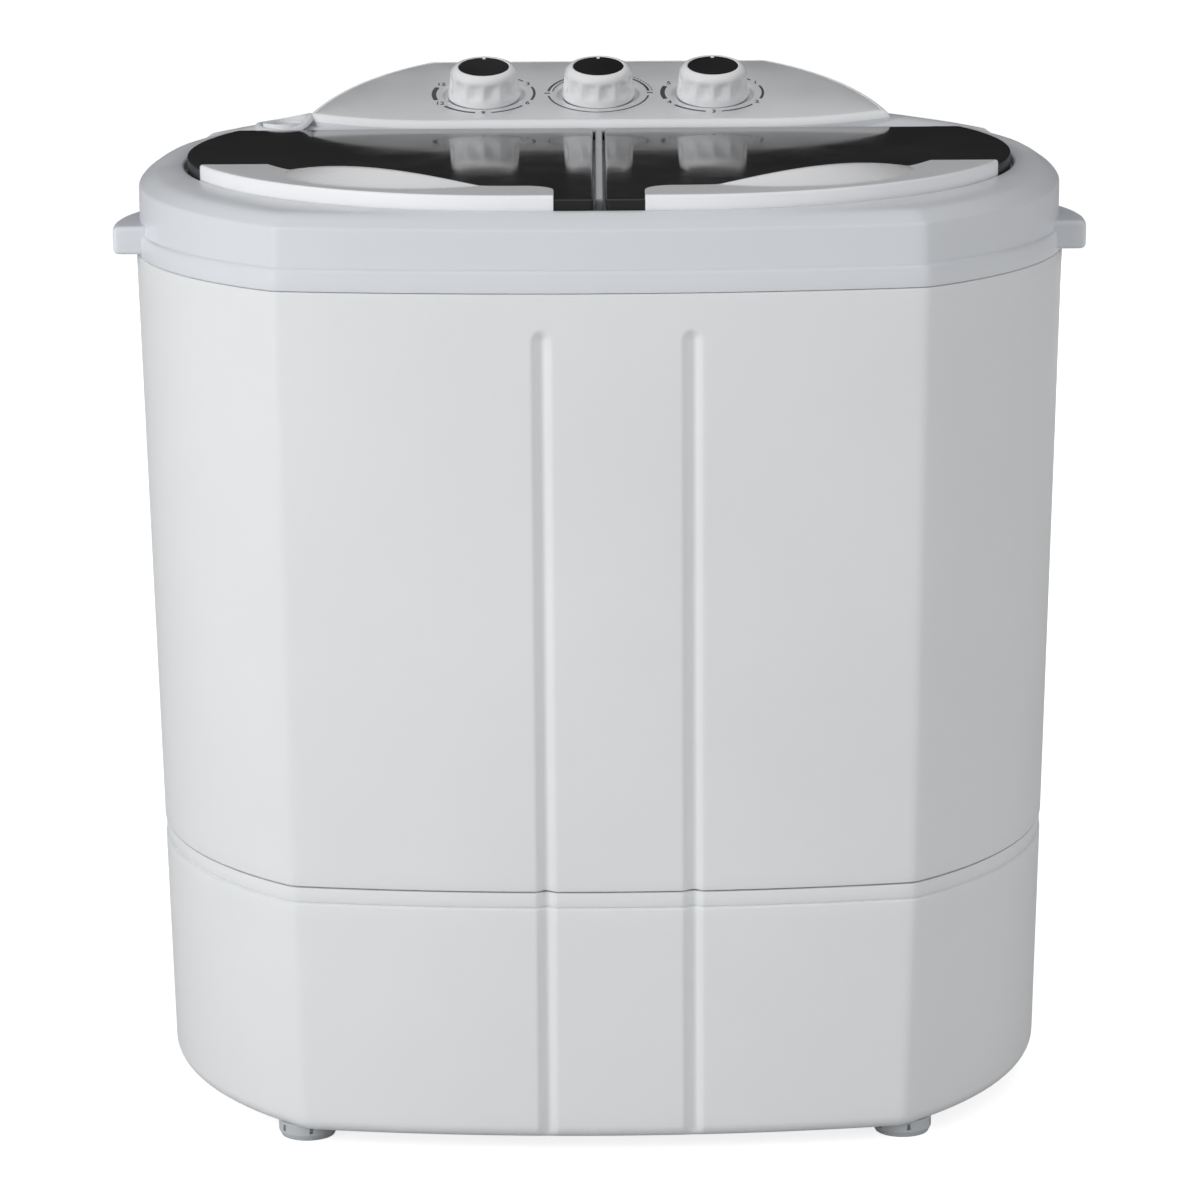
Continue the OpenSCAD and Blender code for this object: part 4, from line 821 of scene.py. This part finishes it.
def trim_shape():
    """The pale band along the lid's front arc, with the leaf-shaped grip rising from its rear edge.

    Stations run along the band: a straight part toward the rib, whose t is millimetres from its end, and the
    arc, whose t goes from 0 to 1. Each station is one ring of radius and height, from the inner edge outward.
    """
    straight, round_in = 18, 15
    arc_end = 66
    leaf_angle, leaf_rise, leaf_reach, leaf_half_squared = math.radians(30.8), 7.0, 25, 3700
    leaf_steps, top_steps = 9, 6
    stations = [("flat", t) for t in (0.0, 0.35, 1.2, 2.6, 4.5, 7, 10, 13, 15, straight)]
    stations += [("arc", t) for t in np.linspace(0, 1, 74)[1:]]
    stations += [("end", 1.0)]
    rings, on_leaf = [], []
    for j, (kind, t) in enumerate(stations):
        edge = 0.35 if j in (0, len(stations) - 1) else 0.0
        inner = band_in
        if kind == "flat" and t < round_in:
            inner = band_in + round_in - math.sqrt(round_in ** 2 - (round_in - t) ** 2)
        along = t - straight if kind == "flat" else t * math.acos(arc_end / band_in) * band_in
        away = along - leaf_angle * band_in
        full = max(0.0, 1 - away * away / leaf_half_squared)
        leaf_r = max(inner + 1.6, inner + leaf_reach * full)

        radii = [inner + edge, inner + edge, inner + edge + 0.15, inner + edge + 0.5]
        radii += [inner + 0.5 + (leaf_r - inner - 0.5) * i / leaf_steps for i in range(1, leaf_steps + 1)]
        radii += [leaf_r + (band_out - 1.7 - leaf_r) * i / top_steps for i in range(1, top_steps + 1)]
        radii += [band_out - 0.9, band_out - 0.35, band_out - 0.07, band_out - edge * 0.3,
                  band_out - edge * 0.3, band_out - 0.3, band_out - 1.8, band_out - 1.8]
        heights = [0.04, 1.9 - edge, 2.3 - edge] + [2.5 - edge] * (1 + leaf_steps + top_steps)
        heights += [2.38 - edge, 2.0, 1.4, 0.6, -8.2, -8.6, -8.6, 0.04]
        lifted = range(1, 4 + leaf_steps + top_steps)

        ring = []
        for i, (r, z) in enumerate(zip(radii, heights)):
            share = max(0.0, 1 - (r - inner) / leaf_reach - away * away / leaf_half_squared)
            if i in lifted:
                z += leaf_rise * share ** 1.12
            if kind == "flat":
                ring.append((-lid_half + straight - t, lid_y - r, z))
            else:
                angle = t * math.acos(arc_end / r)
                y = lid_y - r * math.cos(angle) + (0.35 if kind == "end" else 0.0)
                ring.append((-lid_half - r * math.sin(angle), y, z))
        rings.append(np.array(ring))
        on_leaf.append(full > 0.0)

    # materials: 0 the band, 1 the leaf, 2 the top beside it, a darker copy of the band's white as painted
    # shade
    n = len(rings[0])
    pick = []
    for j in range(len(rings) - 1):
        lit = on_leaf[j] and on_leaf[j + 1]
        for i in range(n):
            if lit and 3 <= i < 3 + leaf_steps:
                pick.append(1)
            else:
                pick.append(2 if i < 4 + leaf_steps + top_steps else 0)
    pick += [0, 0]
    return loft(rings, cap_first=True, cap_last=True), pick


trim, trim_pick = trim_shape()
plate_verts, plate_faces = joined(lid_solid, lugs)
for prefix, body, sign in (("wash", "wash_lid", 1), ("spin", "spin_lid", -1)):
    mirror = ((0, sign, 0), (1, 1, 0), (2, 1, 0))
    plate = turned((lid_frame(plate_verts), plate_faces), mirror)
    lid_obj = made(f"{prefix}_lid_top", plate, [MAT["lid"], MAT["lid_edge"]], smooth=40)
    for poly in lid_obj.data.polygons:
        poly.material_index = 0 if poly.normal.z > 0.6 else 1
    piece(lid_obj, body, [f"{prefix}_lid_plate"])
    band = turned((lid_frame(trim[0]), trim[1]), mirror)
    band_obj = made(f"{prefix}_lid_band", band, [MAT["trim"], MAT["knob"], MAT["trim_top_shaded"]], weld=False,
                    smooth=32, pick=trim_pick)
    bm = bmesh.new()
    bm.from_mesh(band_obj.data)
    bmesh.ops.recalc_face_normals(bm, faces=bm.faces[:])
    bm.to_mesh(band_obj.data)
    bm.free()
    piece(band_obj, body, [f"{prefix}_lid_trim"])

# ---------------------------------------------------------------- studio
scene = bpy.context.scene
floor_mat = material("studio_floor", (0.55, 0.55, 0.55), 0.8, bump=0.02, grain=60, vary=0.006, wear_and_highlight=0.0)
floor_nodes, floor_links = floor_mat.node_tree.nodes, floor_mat.node_tree.links
# the camera sees the floor brighter than it lights the model
glow, seen = floor_nodes.new("ShaderNodeEmission"), floor_nodes.new("ShaderNodeLightPath")
lift, both = floor_nodes.new("ShaderNodeMath"), floor_nodes.new("ShaderNodeAddShader")
lift.operation = "MULTIPLY"
lift.inputs[1].default_value = 0.80
floor_links.new(seen.outputs["Is Camera Ray"], lift.inputs[0])
floor_links.new(lift.outputs["Value"], glow.inputs["Strength"])
floor_links.new(floor_nodes["Principled BSDF"].outputs["BSDF"], both.inputs[0])
floor_links.new(glow.outputs["Emission"], both.inputs[1])
floor_links.new(both.outputs["Shader"], floor_nodes["Material Output"].inputs["Surface"])
floor_obj = made("studio_floor", box_shape(-14000, 14000, -9000, 26000, -40, 0), floor_mat)

world = bpy.data.worlds.new("studio")
scene.world = world
world.use_nodes = True
world_nodes, world_links = world.node_tree.nodes, world.node_tree.links
back = world_nodes["Background"]
back.inputs["Color"].default_value = (1.0, 1.0, 1.0, 1)
ray = world_nodes.new("ShaderNodeTexCoord")
split = world_nodes.new("ShaderNodeSeparateXYZ")
world_links.new(ray.outputs["Generated"], split.inputs["Vector"])
# bright overhead and dark at the sides, so that the side planes keep their different tones
level = world_nodes.new("ShaderNodeMapRange")
level.interpolation_type = "SMOOTHSTEP"
level.inputs["From Min"].default_value = 0.30
level.inputs["From Max"].default_value = 0.80
level.inputs["To Min"].default_value = 0.02
level.inputs["To Max"].default_value = 0.60
world_links.new(split.outputs["Z"], level.inputs["Value"])
# the camera itself sees a pale backdrop past the floor's far edge
to_camera, brighter = world_nodes.new("ShaderNodeLightPath"), world_nodes.new("ShaderNodeMath")
brighter.operation = "MAXIMUM"
world_links.new(level.outputs["Result"], brighter.inputs[0])
world_links.new(to_camera.outputs["Is Camera Ray"], brighter.inputs[1])
world_links.new(brighter.outputs["Value"], back.inputs["Strength"])


def softbox(name, place, size, power):
    """A large lamp that faces the body and isn't mirrored in it."""
    data = bpy.data.lights.new(name, "AREA")
    data.shape = "RECTANGLE"
    data.size, data.size_y = size
    data.energy = power
    lamp = bpy.data.objects.new(name, data)
    scene.collection.objects.link(lamp)
    lamp.location = place
    lamp.visible_glossy = False
    lamp.rotation_mode = "QUATERNION"
    lamp.rotation_quaternion = (Vector((0, 0, 0.3)) - Vector(place)).to_track_quat("-Z", "Y")


softbox("key_left", (-2.35, -1.9, 1.1), (1.8, 1.8), 69)
softbox("fill_right", (2.3, -1.6, 0.9), (1.4, 1.8), 25)
softbox("fill_back", (0.6, 2.9, 1.0), (1.8, 1.8), 30)

# The camera of the photograph, as fitted to its outline: place, look down, and a slight roll.
cam_data = bpy.data.cameras.new("photo_camera")
cam_data.lens = 134.86
cam_data.sensor_width = 36.0
cam = bpy.data.objects.new("photo_camera", cam_data)
scene.collection.objects.link(cam)
cam.matrix_world = (Matrix.Translation((-0.0009, -2.40407, 0.78612))
                    @ Matrix.Rotation(math.radians(90 - 12.421), 4, "X") @ Matrix.Rotation(-0.0063, 4, "Z"))
cam_data.clip_end = 100
scene.camera = cam
scene.view_settings.view_transform = "Standard"
